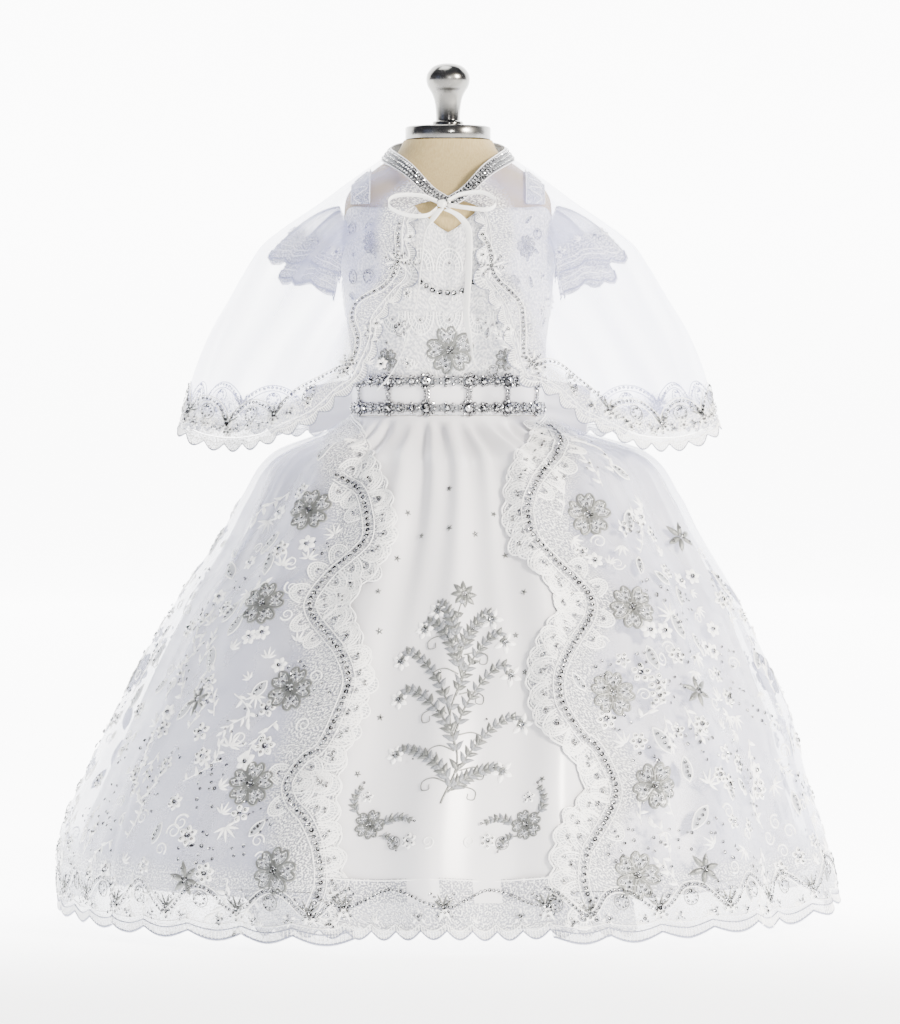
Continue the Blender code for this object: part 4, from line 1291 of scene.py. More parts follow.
def shellsAlong(surface, line, length, pitch, offset, facing, inset=6.0, size=1.0, keep=None):
    # shells that stand off a line by offset, their round side away from it where facing is 1
    for angle, share in evenly(line, length, pitch, inset):
        if keep and not keep(angle, share):
            continue
        i = np.clip(np.argmin((line[:, 0] - angle) ** 2 + (line[:, 1] - share) ** 2), 1, len(line) - 2)
        across, down = (float(v) for v in metric(surface, np.array(angle), np.array(share)))
        along = (line[i + 1] - line[i - 1]) * [across, -down]
        along /= np.linalg.norm(along)
        out = np.array([-along[1], along[0]]) * np.sign(offset)
        a = angle + out[0] * abs(offset) / across
        v = share - out[1] * abs(offset) / down
        out = out * facing
        if surface == "over" and abs(a) < overskirtStart(np.sign(a), v) + clearance["shells"]:
            continue
        if v < 0.995:
            stamp(shells[int(rng.integers(3))], surface, a, v, math.atan2(-out[0], out[1]), size)


for side in (-1, 1):
    edge = frontEdges[side]
    threadAlong("over", "white", edge, 1.7, 1.0, side * 1.0)
    threadAlong("over", "white", edge, 0.8, 0.6, side * 3.4)
    shares = np.linspace(0.05, 0.9, 120)
    steady = np.column_stack([side * overskirtStart(side, shares), shares])
    points = overskirtSheet(steady[:, 0], steady[:, 1])
    length = distances(points)
    shellsAlong("over", steady, length, scallops["pitch"], side * 17.5, -1, 4)

    places = seen("over", windingLine[side])
    line, length = pathOn("over", places[:, 0], places[:, 1], 8)
    discsAlong("over", line, length, 5.5, 2.15)
    for offset in (-5.0, 5.0):
        threadAlong("over", "white", line, 1.0, 0.8, offset)
    outward = -side
    shellsAlong("over", line, length, 19.5, outward * 8.5, 1)
    shellsAlong("over", line, length, 19.5, outward * 24.0, 1, 16, 0.8, keep=lambda a, s: 0.2 < s < 0.93)
    wide = lambda a, s: abs(a) - overskirtStart(side, s) > clearance["inner shells"]
    shellsAlong("over", line, length, 19.5, -outward * 8.5, 1, 10, 0.85, keep=wide)
    for a, v in line[::2]:
        take("over", a, v, 20)
    for a, v in steady[::3]:
        take("over", a, v, 14)

flowerSpots = {
    "big": [(-120, 353), (-161, 272), (-137, 198), (-171, 115), (-151, 40), (122, 349), (160, 269), (143, 194),
            (180, 114), (164, 36)],
    "star": [(-217, 189), (-228, 32), (217, 196), (223, 42), (202, 330)],
}
for kind, motifs, radius in (("big", bigFlowers, 19), ("star", starFlowers, 15)):
    for i, (angle, share) in enumerate(seen("over", flowerSpots[kind])):
        stamp(motifs[i % len(motifs)], "over", angle, share, rng.uniform(0, 6.28))
        take("over", angle, share, radius)
behindSpots = [(96, 0.55), (108, 0.78), (126, 0.42), (132, 0.66), (150, 0.84), (156, 0.5), (172, 0.7)]
for side in (-1, 1):
    for i, (turn, share) in enumerate(behindSpots):
        motifs, radius = ((bigFlowers, 19), (starFlowers, 15))[i % 2]
        stamp(motifs[i % len(motifs)], "over", side * math.radians(turn), share, rng.uniform(0, 6.28))
        take("over", side * math.radians(turn), share, radius)

smallMotifs = [(sprays, 13.5), (sprays, 13.0), (daisies, 8.5), (daisies, 8.0), (feathers, 8.5), (leaves, 11.0),
               (dots, 7.0), (curls, 8.0)]
candidates = np.column_stack([rng.uniform(-math.pi, math.pi, 7000), rng.uniform(0.1, 0.935, 7000)])
spots = overskirtSheet(candidates[:, 0], candidates[:, 1])
taken = np.array([p for p, _ in placedSpots])
radii = np.array([r for _, r in placedSpots], float)
sown = 0
for (angle, share), spot in zip(candidates, spots):
    nearEdge = abs(angle) < overskirtStart(int(np.sign(angle)), share) + clearance["motifs"]
    if nearEdge or rng.random() > softStep(0.05, 0.45, share) + 0.12:
        continue
    if abs(angle) > 1.0 and share < 0.3 + 0.1 * math.sin(9 * angle):
        continue
    motifs, radius = smallMotifs[int(rng.integers(len(smallMotifs)))]
    spread = 1.0 if abs(angle) < 1.1 else 1.35
    if np.any(np.linalg.norm(taken - spot, axis=1) < (radii + radius) * spread * 0.8 - 1.5):
        continue
    motif = motifs[int(rng.integers(len(motifs)))]
    turn = rng.uniform(-0.9, 0.9) + (math.pi if rng.random() < 0.35 else 0)
    stamp(motif, "over", angle, share, turn, rng.uniform(0.95, 1.25))
    taken, radii = np.vstack([taken, spot]), np.append(radii, radius)
    sown += 1
print("small motifs on the overskirt:", sown)

# Hem of the overskirt: a wave of sequins over a double scalloped cord
hemWave = {"waves": 14, "height": 32.0, "swing": 10.5}
for side in (-1, 1):
    first = float(overskirtStart(side, np.array(0.95)))
    turns = np.linspace(first, centreBack, 500)
    across, down = metric("over", side * turns, 0 * turns + 0.94)
    part = (turns - first) / (centreBack - first)
    swing = np.cos(2 * math.pi * hemWave["waves"] * part)
    # the low points are a little sharper than the high ones
    share = 1 - (hemWave["height"] + hemWave["swing"] * swing * (1 - 0.12 * swing)) / down
    line = np.column_stack([side * turns, share])
    points = overskirtSheet(line[:, 0], line[:, 1])
    length = distances(points)
    discsAlong("over", line, length, 3.7, 1.55)
    threadAlong("over", "white", line, 0.9, 0.6, 2.4)
    threadAlong("over", "white", line, 0.9, 0.6, -2.4)
    valley, ring, three = dragonfly(), ringOfDiscs(), trefoil()
    for k in range(hemWave["waves"]):
        at = lambda p: side * mix(first, centreBack, (k + p) / hemWave["waves"])
        stamp(valley, "over", at(0.5), 0.952, rng.uniform(-0.1, 0.1), 0.82)
        stamp(ring, "over", at(0.0 if k else 0.08), 0.936, rng.uniform(-0.2, 0.2), 0.85)
        stamp(three, "over", at(0.27), 0.967, rng.uniform(0, 6), 0.9)
        stamp(three, "over", at(0.76), 0.967, rng.uniform(0, 6), 0.9)
        stamp(feathers[1], "over", at(0.18), 0.975, rng.uniform(-0.3, 0.3), 0.7)
    fine = np.linspace(first, centreBack, scallops["aSide"] * 24)
    for share, width in ((0.9975, 1.7), (0.984, 1.1), (0.975, 0.8)):
        level = np.column_stack([side * fine, 0 * fine + share])
        threadAlong("over", "white" if width < 1 else "pale", level, width, 0.9)
    for turn in np.linspace(first, centreBack, scallops["aSide"] * 15):
        ends = np.column_stack([np.full(2, side * turn), (0.984, 0.997)])
        threadAlong("over", "white", ends, 0.75, 0.6)

# Front hem of the satin, below the opening of the overskirt
turns = np.linspace(-span * 0.99, span * 0.99, 500)
swing = np.cos(2 * math.pi * 4 * (turns + span) / (2 * span))
line = np.column_stack([turns, 0.922 + 0.017 * swing])
points = frontHemSheet(line[:, 0], line[:, 1])
length = distances(points)
discsAlong("frontHem", line, length, 3.7, 1.55)
for k in range(4):
    stamp(dragonfly(), "frontHem", mix(-span, span, k / 4), 0.94, 0, 0.8)
    stamp(trefoil(), "frontHem", mix(-span, span, (k + 0.75) / 4), 0.955, 0, 0.9)
    stamp(feathers[1], "frontHem", mix(-span, span, (k + 0.3) / 4), 0.962, 0, 0.8)
for share, width in ((0.983, 1.7), (0.97, 1.0), (0.888, 1.1)):
    level = np.column_stack([turns, 0 * turns + share])
    threadAlong("frontHem", "pale" if width > 1.5 else "white", level, width, 0.8)
for turn in np.linspace(-span * 0.99, span * 0.99, scallops["inFront"] * 9):
    threadAlong("frontHem", "white", np.column_stack([np.full(2, turn), (0.97, 0.983)]), 0.75, 0.6)

# Cape: a line of sequins down each edge and in waves round the hem
capeLine = {
    -1: [(-42, 601), (-43, 583), (-44, 569), (-55, 548), (-78, 534), (-83, 520), (-78, 505), (-80, 492),
         (-88, 479)],
    1: [(30, 592), (38, 565), (43, 553), (61, 535), (65, 515), (65, 500), (66, 490), (74, 482)],
}
capeClusters = {-1: [(-44, 569), (-88, 479)], 1: [(38, 565), (74, 482)]}
capeFillers = {
    -1: [(-33, 590), (-32, 555), (-50, 533), (-62, 515), (-60, 500), (-70, 480), (-58, 480)],
    1: [(30, 575), (33, 550), (45, 530), (52, 510), (52, 492), (58, 478)],
}
arches = {"count": 9, "low": 0.962, "rise": 0.088}
for side in (-1, 1):
    places = seen("cape", capeLine[side])
    # round arches that meet in points
    turns = np.linspace(places[-1, 0], side * centreBack, 2 * arches["count"] + 1)[1:]
    fine = np.linspace(0, 1, arches["count"] * 24 + 1)[1:]
    level = arches["low"] - arches["rise"] * np.abs(np.sin(math.pi * arches["count"] * fine)) ** 0.62
    first, _ = pathOn("cape", places[:, 0], places[:, 1], 12)
    first[:, 1] = first[:, 1] + (arches["low"] - first[-1, 1]) * np.linspace(0, 1, len(first)) ** 6
    line = np.concatenate([first, np.column_stack([mix(places[-1, 0], side * centreBack, fine), level])])
    points = capePoint(line[:, 0], line[:, 1])
    length = distances(points)
    discsAlong("cape", line, length, 3.9, 1.45)
    threadAlong("cape", "white", line, 0.9, 0.6, 2.5)
    threadAlong("cape", "white", line, 0.9, 0.6, -2.5)
    for i, turn in enumerate(turns[:-1]):
        if i % 2:
            stamp(dragonfly(), "cape", turn, 0.95, rng.uniform(-0.15, 0.15), 0.8)
        else:
            stamp(ringOfDiscs(), "cape", turn, 0.918, 0, 0.85)
            stamp(daisies[1], "cape", turn, 0.962, rng.uniform(0, 6), 0.7)
        stamp(trefoil(), "cape", turn + side * 0.075, 0.967, rng.uniform(0, 6), 0.8)
    star = Motif()
    for i in range(6):
        for k in range(3):
            u, v = rotated([(0, 4.2 + 3.4 * k)], i * 1.047 + 0.3)[0]
            star.disc(u, v, 1.3)
        root, tip = rotated([(0, 1), (0, 13)], i * 1.047 + 0.8)
        star.leaf("white", root, tip, 2.6)
    star.disc(0, 0, 2.1)
    for x, z in capeClusters[side]:
        stampSeen(star, "cape", x, z, 0, 0.9)
    for i, (x, z) in enumerate(capeFillers[side]):
        stampSeen((daisies[i % 3], sprays[2], feathers[0])[i % 3], "cape", x, z, rng.uniform(-1, 1), 0.75)
    for i in range(26):
        turn = side * rng.uniform(0.55, centreBack)
        motif = (feathers, daisies)[i % 2][i % 3]
        stamp(motif, "cape", turn, rng.uniform(0.945, 0.985), rng.uniform(-1, 1), 0.6)
    at = side * np.linspace(0.002, 0.999, 461)
    for part, width in ((0.97, 1.6), (0.55, 0.9), (0.05, 1.1)):
        level = np.column_stack([at, 0 * at + part])
        threadAlong("capeLace", "pale" if width > 1.5 else "white", level, width, 0.8)
    for k in side * np.linspace(0.003, 0.998, 360):
        threadAlong("capeLace", "white", np.column_stack([np.full(2, k), (0.55, 0.97)]), 0.75, 0.5)

# Bodice: two rows of shells with an arc of sequins between them, and a large flower
bodiceShells = [(x, 563) for x in (-49, -24, 1, 26, 51)] + [(x, 523) for x in (-48, -24, 1, 26, 50)]
for x, z in bodiceShells:
    stampSeen(shell(22, 17, 1), "bodice", x, z, 0 if z > 550 else math.pi, 1.0)
places = seen("bodice", [(-24, 551), (-12, 544), (1, 541.5), (13, 544), (22, 551)])
line, length = pathOn("bodice", places[:, 0], places[:, 1], 6)
discsAlong("bodice", line, length, 6.6, 2.6)
stampSeen(heartFlower(), "bodice", 1.7, 492, 0.2, 1.02)
sideFlowers = [(-50, 548), (52, 546), (-66, 584), (68, 582), (-66, 508), (66, 510), (-52, 484), (50, 484)]
for i, (x, z) in enumerate(sideFlowers):
    stampSeen(heartFlower(), "bodice", x, z, 0.5 * i, 0.62 if i < 2 else 0.48)
bodiceSpots = [(-38, 500, 0), (38, 500, 0), (-55, 540, 1), (55, 540, 1), (-62, 512, 2), (62, 512, 2),
               (-30, 476, 3), (32, 476, 3), (-56, 480, 1), (58, 480, 1)]
for x, z, kind in bodiceSpots:
    motif = (sprays[2], daisies[1], sprays[1], feathers[0])[kind]
    stampSeen(motif, "bodice", x, z, rng.uniform(-0.5, 0.5), 0.85)
for turn in list(range(70, 180, 22)) + list(range(-176, -66, 22)):
    for share in (0.3, 0.52, 0.76):
        motifs = (daisies, sprays, feathers)[int(rng.integers(3))]
        motif = motifs[int(rng.integers(3))]
        stamp(motif, "bodice", math.radians(turn + rng.uniform(-5, 5)), share, rng.uniform(-1, 1), 0.85)

# small ones are scattered between them: white about the middle, and with silver under the cape
middleKinds = (sprays[2], feathers[1], daisies[1], leaves[1], curls[0], curls[1])
held = np.array(bodiceShells + [(1.7, 492), (-8, 498), (12, 498)] + sideFlowers)
for x, z in np.column_stack([rng.uniform(-84, 84, 900), rng.uniform(472, 604, 900)]):
    apart = 17 if abs(x) < 30 else 13
    if abs(x) < 30 and z > 550 or np.min(np.linalg.norm(held - (x, z), axis=1)) < apart:
        continue
    held = np.vstack([held, [x, z]])
    kinds = middleKinds if abs(x) < 34 else (stitchedStar(3.4), ringOfDiscs(), leaves[1], daisies[1])
    motif = kinds[int(rng.integers(len(kinds)))]
    stampSeen(motif, "bodice", x, z, rng.uniform(-1.2, 1.2), rng.uniform(0.6, 0.8))

# Sleeves: a scalloped corded hem with small flowers
for name in ("UpperLeft", "UpperRight", "LowerLeft", "LowerRight"):
    surface = "sleeve" + name
    turns = np.radians(np.linspace(-99, 99, 260))
    for share, width in ((0.985, 1.5), (0.9, 0.9), (0.84, 0.7)):
        dip = 0.02 * np.abs(np.sin(turns * 7))
        level = np.column_stack([turns, share - 0.03 + dip])
        threadAlong(surface, "pale" if share > 0.95 else "white", level, width, 0.7)
    for i, turn in enumerate(np.radians(np.linspace(-80, 80, 7 if "Upper" in name else 5))):
        motif = (daisies[1], feathers[0], dots[1])[i % 3]
        stamp(motif, surface, turn, 0.68, rng.uniform(-0.6, 0.6), 0.7)
print("lace motifs are laid")


# Satin front: a tall flowering branch with small stars about it, and sprigs in the lower corners

def frond(motif, points, leafLong, leafWide, every=3, threads=("silver", "grey")):
    # a curved stem with pairs of leaflets that shorten towards its tip
    stem = curve(points, 7)
    motif.strip(threads[0], stem, np.linspace(1.9, 0.9, len(stem)), 1.1)
    for i in range(3, len(stem) - 1, every):
        along = unit(stem[min(i + 1, len(stem) - 1)] - stem[i - 1])
        out = np.array([along[1], -along[0]])
        long = leafLong * (1 - 0.55 * i / len(stem))
        for side in (-1, 1):
            tip = stem[i] + (out * side * 0.72 + along * 0.7) * long
            motif.leaf(threads[(i // every) % 2], stem[i], tip, leafWide, 1.3, 0.07 * side, 5)
    return stem[-1]


def centreSpray():
    # a tall flowering branch: twigs leave it by turns to the left and the right, and end in flowers or curls
    motif = Motif()
    trunk = [(-6, -14), (4, 22), (-5, 62), (5, 104), (-3, 142), (3, 172)]
    ends = [(frond(motif, trunk, 12, 4.6, 3), 12, 8, "silver")]
    twigs = [(-4, 1, 46, 24), (2, -1, 52, 34), (14, 1, 55, 50), (30, -1, 54, 58), (44, 1, 50, 66),
             (62, -1, 46, 60), (80, 1, 42, 58), (98, -1, 35, 50), (116, 1, 27, 40), (128, -1, 18, 34)]
    for k, (foot, side, wide, rise) in enumerate(twigs):
        root = 4.5 * math.sin(foot / 13)
        lean = rng.uniform(0.86, 1.1)
        shape = ((0, 0), (0.2 * lean, 0.42), (0.5, 0.8), (0.82, 1), (1, 0.86))
        route = [(root + side * wide * out, foot + rise * up) for out, up in shape]
        tip = frond(motif, route, rng.uniform(9.5, 12), rng.uniform(4.0, 5.0), 2)
        ends.append((tip, 8.5 if k % 2 else 10.5, 6 if k % 2 else 5, "white"))
        shape = ((3, 2), (15, 6), (24, 3), (24, -4), (18, -4), (18, 0.5))
        twist = curve([(root + side * out, foot + up) for out, up in shape], 5)
        motif.strip("silver", twist, np.linspace(1.3, 0.7, len(twist)), 0.9)
    for (u, v), reach, count, thread in ends:
        for i in range(count):
            a = 2 * math.pi * i / count + 0.3 * u
            way = np.array([math.cos(a), math.sin(a)])
            root, tip = (u, v) + 1.8 * way, (u, v) + reach * way
            motif.leaf(thread, root, tip, 5.0, 1.3, 0, 5, 0.85)
            motif.leaf("silver", root, mix(root, tip, 0.6), 1.0, 1.9)
        motif.disc(u, v, 1.9)
    sequinSpots = ((-16, 66), (18, 84), (-14, 100), (15, 112), (-24, 84), (27, 62), (-9, 132), (12, 142),
                   (-34, 26), (36, 20))
    for u, v in sequinSpots:
        motif.disc(u, v, 1.1)
    return motif


def stampTall(motif, surface, angle, share):
    # for a tall motif: its width is measured at each height
    down = float(metric(surface, np.array(angle), np.array(share - 0.15))[1])
    for thread, grid in motif.strips:
        second = share - grid[..., 1] / down
        across = metric(surface, np.full(second.shape, angle), second, 0.03)[0]
        laid = np.stack([angle + grid[..., 0] / across, second, grid[..., 2]], -1)
        stitches.setdefault((surface, thread), []).append(laid)
    for kind, u, v, radius in motif.discs:
        second = share - v / down
        across = float(metric(surface, np.array(angle), np.array(second), 0.03)[0])
        discs.setdefault((surface, kind), []).append((angle + u / across, second, radius, 0.9))


angle, share = seen("satin", [(1, 112)])[0]
stampTall(centreSpray(), "satin", angle, share)
satinStars = [(-46, 312), (-24, 330), (0, 338), (25, 331), (48, 312), (-62, 282), (64, 280), (-58, 248),
              (60, 246), (-66, 210), (68, 212), (-60, 172), (64, 170), (-36, 350), (38, 350), (-72, 330),
              (74, 326), (0, 372), (-78, 122), (82, 120)]
for x, z in satinStars:
    star = stitchedStar(rng.uniform(2.6, 3.6))
    stampSeen(star, "satin", x + rng.uniform(-2, 2), z + rng.uniform(-2, 2), rng.uniform(0, 6))
sprig = Motif()
frond(sprig, [(0, 0), (4.5, 9), (3.5, 19), (-3, 28)], 8, 3.4, 3)
sprig.disc(-3.5, 30, 1.6)
# where each stands on the right, the motif, its turn and its size; the left mirrors it
cornerSprays = (
    (68, 80, bigFlowers[0], 0.3, 0.62), (77, 88, sprig, -0.15, 0.9), (58, 78, sprig, 1.35, 0.95),
    (60, 70, sprig, 2.1, 0.7), (34, 66, daisies[2], 0.0, 0.9), (47, 64, ringOfDiscs(), 0.0, 0.7),
    (70, 104, daisies[1], 0.0, 0.75), (20, 60, curls[0], 1.9, 0.9),
)
for flip in (-1, 1):
    for x, z, motif, turn, size in cornerSprays:
        stampSeen(motif, "satin", flip * x, z, flip * turn, size, flip)
print("the satin front is embroidered")


# Turning stitches and discs into meshes

threads = {"white": whiteThread, "silver": silverThread, "net": netFillWithShade, "pale": paleThread, "grey": silverNet}
for (surface, thread), grids in stitches.items():
    points = np.concatenate([g.reshape(-1, 3) for g in grids])
    offsets = np.cumsum([0] + [g.shape[0] * g.shape[1] for g in grids])
    faces = np.concatenate([gridFaces(*g.shape[:2]) + o for g, o in zip(grids, offsets)])
    first, second = points[:, 0], np.clip(points[:, 1], 0, 1)
    if surface == "capeLace":
        first = np.where(first >= 0, np.clip(first, 0.0001, 1), np.clip(first, -1, -0.0001))
    laid = surfaces[surface](first, second) + normalOf(surfaces[surface], first, second) * points[:, 2:]
    piece = newPiece(f"{thread}Stitches_{surface}", laid, faces, threads[thread])
    place(piece, "lace")
    print(piece.name, 2 * len(faces), "triangles")


def ringShape(sides, rings):
    # each ring is its radius, its height and how far it is turned; faces join each ring to the next
    turns = np.linspace(0, 2 * math.pi, sides + 1)[:-1]
    shape = [
        np.column_stack([r * np.cos(turns + t), r * np.sin(turns + t), 0 * turns + z]) for r, z, t in rings
    ]
    here, following = np.arange(sides), (np.arange(sides) + 1) % sides
    band = np.stack([here, following, following + sides, here + sides], 1)
    return np.concatenate(shape), np.concatenate([k * sides + band for k in range(len(rings) - 1)])


discSides = 6
discShape, discFaces = ringShape(discSides, [(1, 0.34, 0), (0.68, 0.08, 0), (0.27, 0.0, 0)])
discFaces = discFaces[:, ::-1]


def strewn(name, centres, normals, radii, shape, faces, material, tilt, lift, smooth):
    # copies of one small shape, each set flat on the cloth and leaning a little its own way
    helper = np.where(np.abs(normals[:, 2:]) < 0.9, [[0, 0, 1.0]], [[1.0, 0, 0]])
    side = unit(np.cross(helper, normals))
    up = np.cross(normals, side)
    lean = rng.normal(0, tilt, (len(centres), 2))
    normal = unit(normals + side * lean[:, :1] + up * lean[:, 1:])
    side = unit(np.cross(up, normal))
    up = np.cross(normal, side)
    spin = rng.uniform(0, 6.28, len(centres))[:, None]
    side, up = side * np.cos(spin) + up * np.sin(spin), up * np.cos(spin) - side * np.sin(spin)
    r = np.asarray(radii)[:, None, None]
    axes = zip((side, up, normal), shape.T)
    reach = sum(axis[:, None] * part[None, :, None] for axis, part in axes)
    points = centres[:, None] + normals[:, None] * lift + r * reach
    allFaces = (faces[None] + (np.arange(len(centres)) * len(shape))[:, None, None]).reshape(-1, faces.shape[1])
    piece = newPiece(name, points.reshape(-1, 3), allFaces, material, smooth)
    # painted glints: each sequin's rim is painted light on one side and dark on the other, and each stone facet
    # dark or light at random, as painted reflections
    if "sequins" in name:
        turn = np.arange(discSides) / discSides * 2 * math.pi - rng.uniform(0, 2 * math.pi, (len(centres), 1))
        rimGlint = 0.5 + 0.5 * np.cos(turn)
        paintedGlints = np.concatenate([rimGlint, 1 - rimGlint], 1) * rng.uniform(0.6, 1.15, (len(centres), 1))
    else:
        paintedGlints = rng.uniform(0, 1, (len(centres), len(faces)))
    tone = piece.data.attributes.new("tone", "FLOAT", "FACE")
    tone.data.foreach_set("value", paintedGlints.astype(np.float32).ravel())
    return piece


for (surface, kind), entries in discs.items():
    entries = np.array(entries)
    centres = surfaces[surface](entries[:, 0], np.clip(entries[:, 1], 0, 1))
    normals = normalOf(surfaces[surface], entries[:, 0], np.clip(entries[:, 1], 0, 1))
    shape = (discShape, discFaces, sequin)
    piece = strewn(f"sequins_{surface}", centres, normals, entries[:, 2], *shape, 0.2, 1.3, True)
    place(piece, "rhinestone")
    print(piece.name, len(entries), "sequins")


# Belt trim and collar of rhinestones

stoneShape, stoneFaces = ringShape(8, [(1, 0, 0), (1, 0.25, 0), (0.55, 0.62, 0.39), (0.001, 0.66, 0)])
cupShape, cupFaces = ringShape(8, [(1.28, -0.35, 0), (1.26, 0.2, 0), (0.98, 0.3, 0)])


def stones(name, places):
    # places hold centres, normals and radii
    centres, normals, radii = (np.array(part, float) for part in zip(*places))
    crystals = strewn(name + "Stones", centres, normals, radii, stoneShape, stoneFaces, stone, 0.06, 0.4, False)
    cups = strewn(name + "Cups", centres, normals, radii, cupShape, cupFaces, setting, 0.0, 0.4, True)
    for piece in (crystals, cups):
        place(piece, "rhinestone")
    return crystals


beltTrim = {"low": 6.6, "high": 29.5, "radius": 82, "clusters": [-62, -33, -9, 9, 33, 62]}
beltStones = []


def onBelt(angle, above, radius, ease=5.9):
    point = beltPoint(np.array([math.radians(angle)]), np.array([above]), ease)[0]
    ahead = beltPoint(np.array([math.radians(angle + 0.5)]), np.array([above]), ease)[0]
    behind = beltPoint(np.array([math.radians(angle - 0.5)]), np.array([above]), ease)[0]
    normal = np.cross(ahead - behind, [0, 0, 1.0])
    beltStones.append((point, normal / np.linalg.norm(normal), radius))


def stoneFlower(angle, above, big, small, count, reach):
    onBelt(angle, above, big, 6.3)
    for i in range(count):
        turn = 2 * math.pi * i / count
        aside = math.degrees(reach * math.cos(turn) / beltTrim["radius"])
        onBelt(angle + aside, above + reach * math.sin(turn), small)


clusterAngles = beltTrim["clusters"]
ends = [-85] + clusterAngles + [85]
for row in (beltTrim["low"], beltTrim["high"]):
    for angle in clusterAngles:
        stoneFlower(angle, row, 3.5, 1.4, 9, 5.7)
    for low, high in zip(ends, ends[1:]):
        wide = math.radians(high - low) * beltTrim["radius"]
        count = max(1, round((wide - 12) / 10.0))
        for k in range(count):
            angle = low + (high - low) * (k + 1) / (count + 1)
            stoneFlower(angle, row, 2.3, 1.15, 7, 3.9)
            half = (high - low) / (count + 1) / 2
            for away in (-1.9, 0, 1.9):
                onBelt(angle + half * 0.98, row + away, 0.9)
for angle in clusterAngles:
    for above in (12.6, 15.4, 18.2, 21.0, 23.8):
        for away in (-1.35, 1.35):
            onBelt(angle + math.degrees(away / beltTrim["radius"]), above, 1.0)
crystals = stones("belt", beltStones)
for row in (beltTrim["low"], beltTrim["high"]):
    angles, above = np.meshgrid(np.radians(np.linspace(-88, 88, 241)), row + np.array([3.0, 1.5, -1.5, -3.0]))
    grid = beltPoint(angles, above, 5.9 + 0.25 * (np.abs(above - row) < 3))
    place(clothPiece(f"beltNet{'Low' if row < 15 else 'High'}", grid, silverNet), "rhinestone")
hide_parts("belt_trim")


def collarPoint(angle, share):
    sizes = [mix(56.4, 50.5, share), mix(69.4, 65.5, share), mix(45.5, 41.0, share)]
    x, y = section(angle, *sizes)
    return np.stack([x, y, read(capeTop, "height", np.degrees(np.abs(angle))) + mix(0.7, 8.5, share)], -1)


angles, shares = np.meshgrid(np.radians(np.linspace(-177, 177, 281)), np.linspace(1.12, -0.14, 9))
grid = collarPoint(angles, shares)
collarBand = place(clothPiece("capeCollar", grid, silverNet, thick=1.4), "rhinestone", "cape_collar")
declare(collarBand, grid)
collarStones = []
for share in (0.08, 0.48, 0.88):
    line = collarPoint(np.radians(np.linspace(-175.5, 175.5, 1200)), np.full(1200, share))
    length = distances(line)
    for at in np.arange(1.2 + 1.6 * (share == 0.48), length[-1], 3.25):
        point = np.array([np.interp(at, length, line[:, i]) for i in range(3)])
        ahead = np.array([np.interp(at + 1, length, line[:, i]) for i in range(3)])
        along = unit(ahead - point)
        tall = unit(np.array([-point[0] * 0.1, 0.25 if point[1] < 0 else -0.25, 1.0]))
        collarStones.append((point, unit(np.cross(along, tall)), 1.4))
stones("collar", collarStones)


def tube(points, radius, sides=8):
    points = np.array(points, float)
    along = unit(np.gradient(points, axis=0))
    helper = np.array([0, 0, 1.0])
    side = unit(np.cross(along, helper) + 1e-9)
    up = np.cross(side, along)
    turns = np.linspace(0, 2 * math.pi, sides + 1)
    turns = turns[None, :, None]
    return points[:, None] + radius * (side[:, None] * np.cos(turns) + up[:, None] * np.sin(turns))


for name, share in (("collarPipingLow", -0.16), ("collarPipingTop", 1.14)):
    line = collarPoint(np.radians(np.linspace(-177, 177, 300)), np.full(300, share))
    place(gridPiece(name, tube(line, 0.55), satin), "rhinestone")

# Corded edges and a wavy line on each shoulder strap
for word, side in (("Left", -1), ("Right", 1)):
    lines = strapLines[side] + [side * 0.2, 0, 0.6]
    middle = [lines[round(6 + 4 * math.sin(i * 1.1)), i] for i in range(49)]
    for name, line in (("Outer", lines[0]), ("Inner", lines[-1]), ("Wave", curve(middle, 3))):
        place(gridPiece(f"strapCord{name}{word}", tube(line, 0.38), whiteThread), "lace")
print("the stones are set")


# Ribbon tie of the cape

tieRoutes = {
    "tieLoopLeft": [(-9, -76, 611), (-18, -79, 605), (-33, -80, 605), (-47, -80, 610), (-51, -80, 616),
                    (-47, -80, 621), (-36, -79, 623), (-21, -77, 622), (-9.5, -74, 617.5)],
    "tieLoopRight": [(-0.5, -74, 618), (11, -77, 623.5), (29, -79, 625), (39.5, -79, 619.5), (40.5, -79, 614),
                     (33, -79, 610), (16, -78, 611.5), (0, -75, 614)],
    "tieTailLeft": [(-6, -80, 611), (-12, -81, 603), (-18, -82, 594), (-21, -83.5, 580), (-22.5, -86, 563),
                    (-27, -92, 529), (-36, -92, 495), (-47, -88, 472), (-60, -84, 456)],
    "tieTailRight": [(-1, -80, 610.5), (9, -81, 605), (17, -83, 594), (18, -86, 575), (17, -89, 547),
                     (15.5, -93, 520), (19, -92, 500), (22, -89, 481), (27, -87, 474)],
}
tieFaces = {"loop": ((0.0, -0.86, 0.5), (0.0, -0.86, 0.5)), "tail": ((1, -0.25, 0.15), (0.75, -0.65, 0.0))}
ribbonWidth = 6.0
for name, route in tieRoutes.items():
    line = curve(route, 10)
    first, last = (unit(np.array(face)) for face in tieFaces["loop" if "Loop" in name else "tail"])
    part = np.linspace(0, 1, len(line))[:, None]
    across = unit(mix(first, last, part))
    if name == "tieTailLeft":
        across = unit(mix(across, np.array([0.12, -1.0, 0.1]), softStep(0.12, 0.3, part)))  # it hangs edge on
    if name == "tieTailRight":
        across = unit(mix(across, np.array([0.2, -1.0, 0.0]), softStep(0.6, 0.85, part)))
    along = unit(np.gradient(line, axis=0))
    out = unit(np.cross(along, across))
    rows = np.linspace(-0.5, 0.5, 7)
    bulge = 0.35 * (1 - (2 * rows) ** 2)
    grid = line[:, None] + across[:, None] * (rows * ribbonWidth)[None, :, None]
    grid = grid + out[:, None] * bulge[None, :, None]
    piece = clothPiece(name, grid.transpose(1, 0, 2), ribbonSatin, thick=0.5)
    node = "tie_" + ("loop_" if "Loop" in name else "tail_") + ("left" if "Left" in name else "right")
    place(piece, "satin", node)


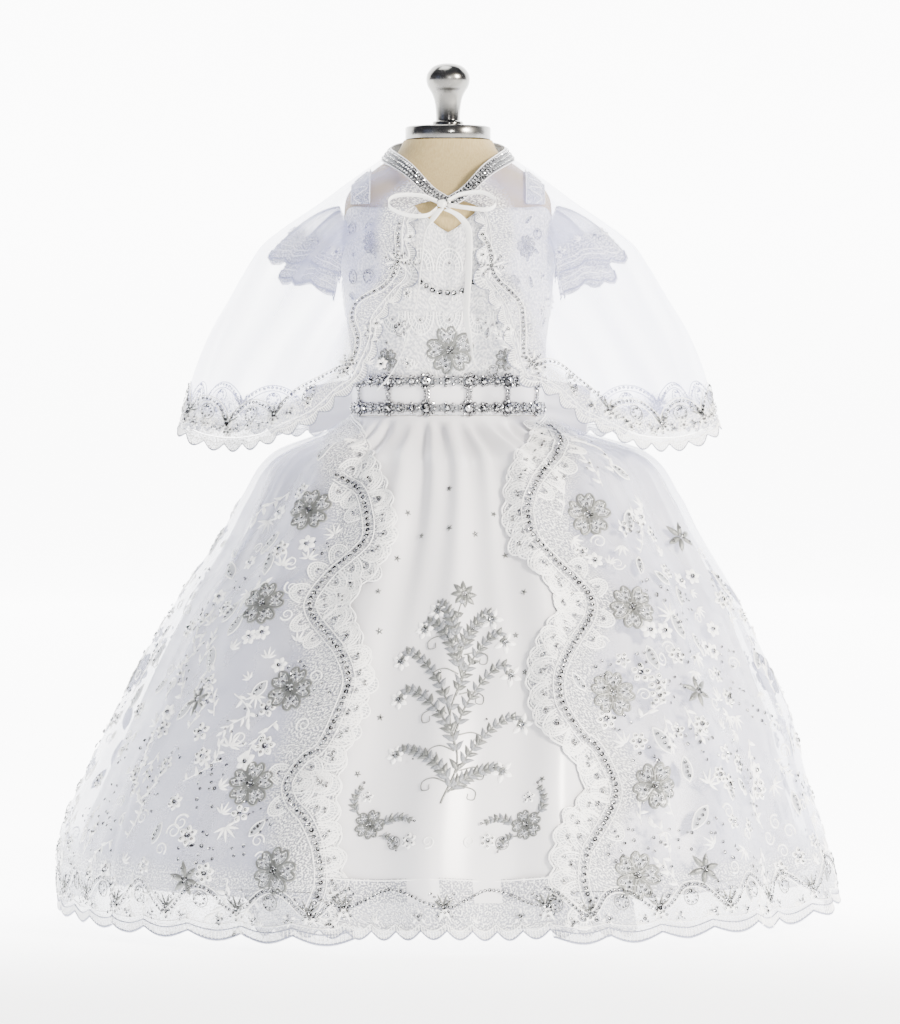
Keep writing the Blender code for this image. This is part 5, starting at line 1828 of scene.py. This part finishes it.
def wrapped(name, centre, radii, wraps, material):
    # a knot: a rounded lump with creases where the cloth wraps round it
    turns, rise = np.meshgrid(np.linspace(0, 2 * math.pi, 65), np.linspace(0, math.pi, 33))
    crease = 1 + 0.06 * np.cos(wraps * rise + 0.8 * np.sin(turns)) * np.sin(rise)
    x = np.cos(rise) * radii[0] * crease
    y = np.sin(rise) * np.cos(turns) * radii[1] * crease
    z = np.sin(rise) * np.sin(turns) * radii[2] * crease
    grid = np.stack([x, y, z], -1) + np.array(centre)
    return gridPiece(name, grid, material)


place(wrapped("tieKnot", (-5, -72.4, 615.5), (4.4, 3.2, 3.6), 5, ribbonSatin), "satin", "tie_knot")


# Satin bow at the back of the waist

bowLoop = {
    "step": list(range(10)),
    "x": [13.6, 40, 72, 100, 119, 124, 114, 86, 50, 13.6],
    "y": [87, 100, 103, 92, 72, 60, 67, 79, 86, 81],
    "z": [453, 455, 452, 446, 441, 440, 441, 446, 452, 451],
    "width": [14, 26, 33, 38, 41, 42, 41, 34, 25, 13],
}
for word, side in (("Left", -1), ("Right", 1)):
    at, part = np.meshgrid(np.linspace(0, 9, 91), np.linspace(0.5, -0.5, 21))
    x, y, z, width = (read(bowLoop, column, at) for column in ("x", "y", "z", "width"))
    lean = unit(np.array([side * 0.1, 0.2, 1.0]))
    grid = np.stack([side * x, y, z], -1) + lean * (width * part)[..., None]
    out = unit(np.cross(np.gradient(grid, axis=1), np.gradient(grid, axis=0)))
    gather = 1 - softStep(0.5, 3.4, np.minimum(at, 9 - at))
    pleat = (0.9 + 0.5 * gather) * np.cos(part * 19 + 0.6 * np.sin(at)) * (0.35 + 0.65 * gather)
    grid = grid + out * pleat[..., None]
    grid = grid[:, ::-side]
    piece = clothPiece(f"bowLoop{word}", grid, satin, thick=0.8)
    place(piece, "satin", f"bow_loop_{word.lower()}")
    declare(piece, grid)

    shares = np.linspace(0, 0.45, 71)
    part = np.linspace(-1, 1, 25)
    half = mix(5, 17, softStep(0, 0.12, shares))
    middle = half + 2.5 + 70 * shares
    share, across = np.repeat(shares[:, None], 25, 1), np.repeat(part[None], 71, 0)
    lift = overskirtLift(math.pi, share) + 2.8 + 4.5 * (1 - softStep(0, 0.07, share))
    x = middle[:, None] + half[:, None] * across - side * read(skirt, "shift", share)
    angle = math.pi - angleFor(x, read(skirt, "halfWidth", share) + lift, skirtPower(share))
    slant = 0.02 * softStep(0.36, 0.45, share) * across
    wave = 0.5 * np.cos(across * 7 + 3 * share) * (1 - 0.6 * softStep(0.05, 0.3, share))
    grid = skirtPoint(side * angle, np.clip(share + slant, 0, 1), lift + wave, 0.0)[:, ::-side]
    piece = clothPiece(f"bowTail{word}", grid, satin, thick=0.8)
    place(piece, "satin", f"bow_tail_{word.lower()}")
    declare(piece, grid)
place(wrapped("bowKnot", (0, 81.0, 450), (12.5, 8.6, 13.4), 6, satin), "satin", "bow_knot")
print("the ribbons and the bow are tied")
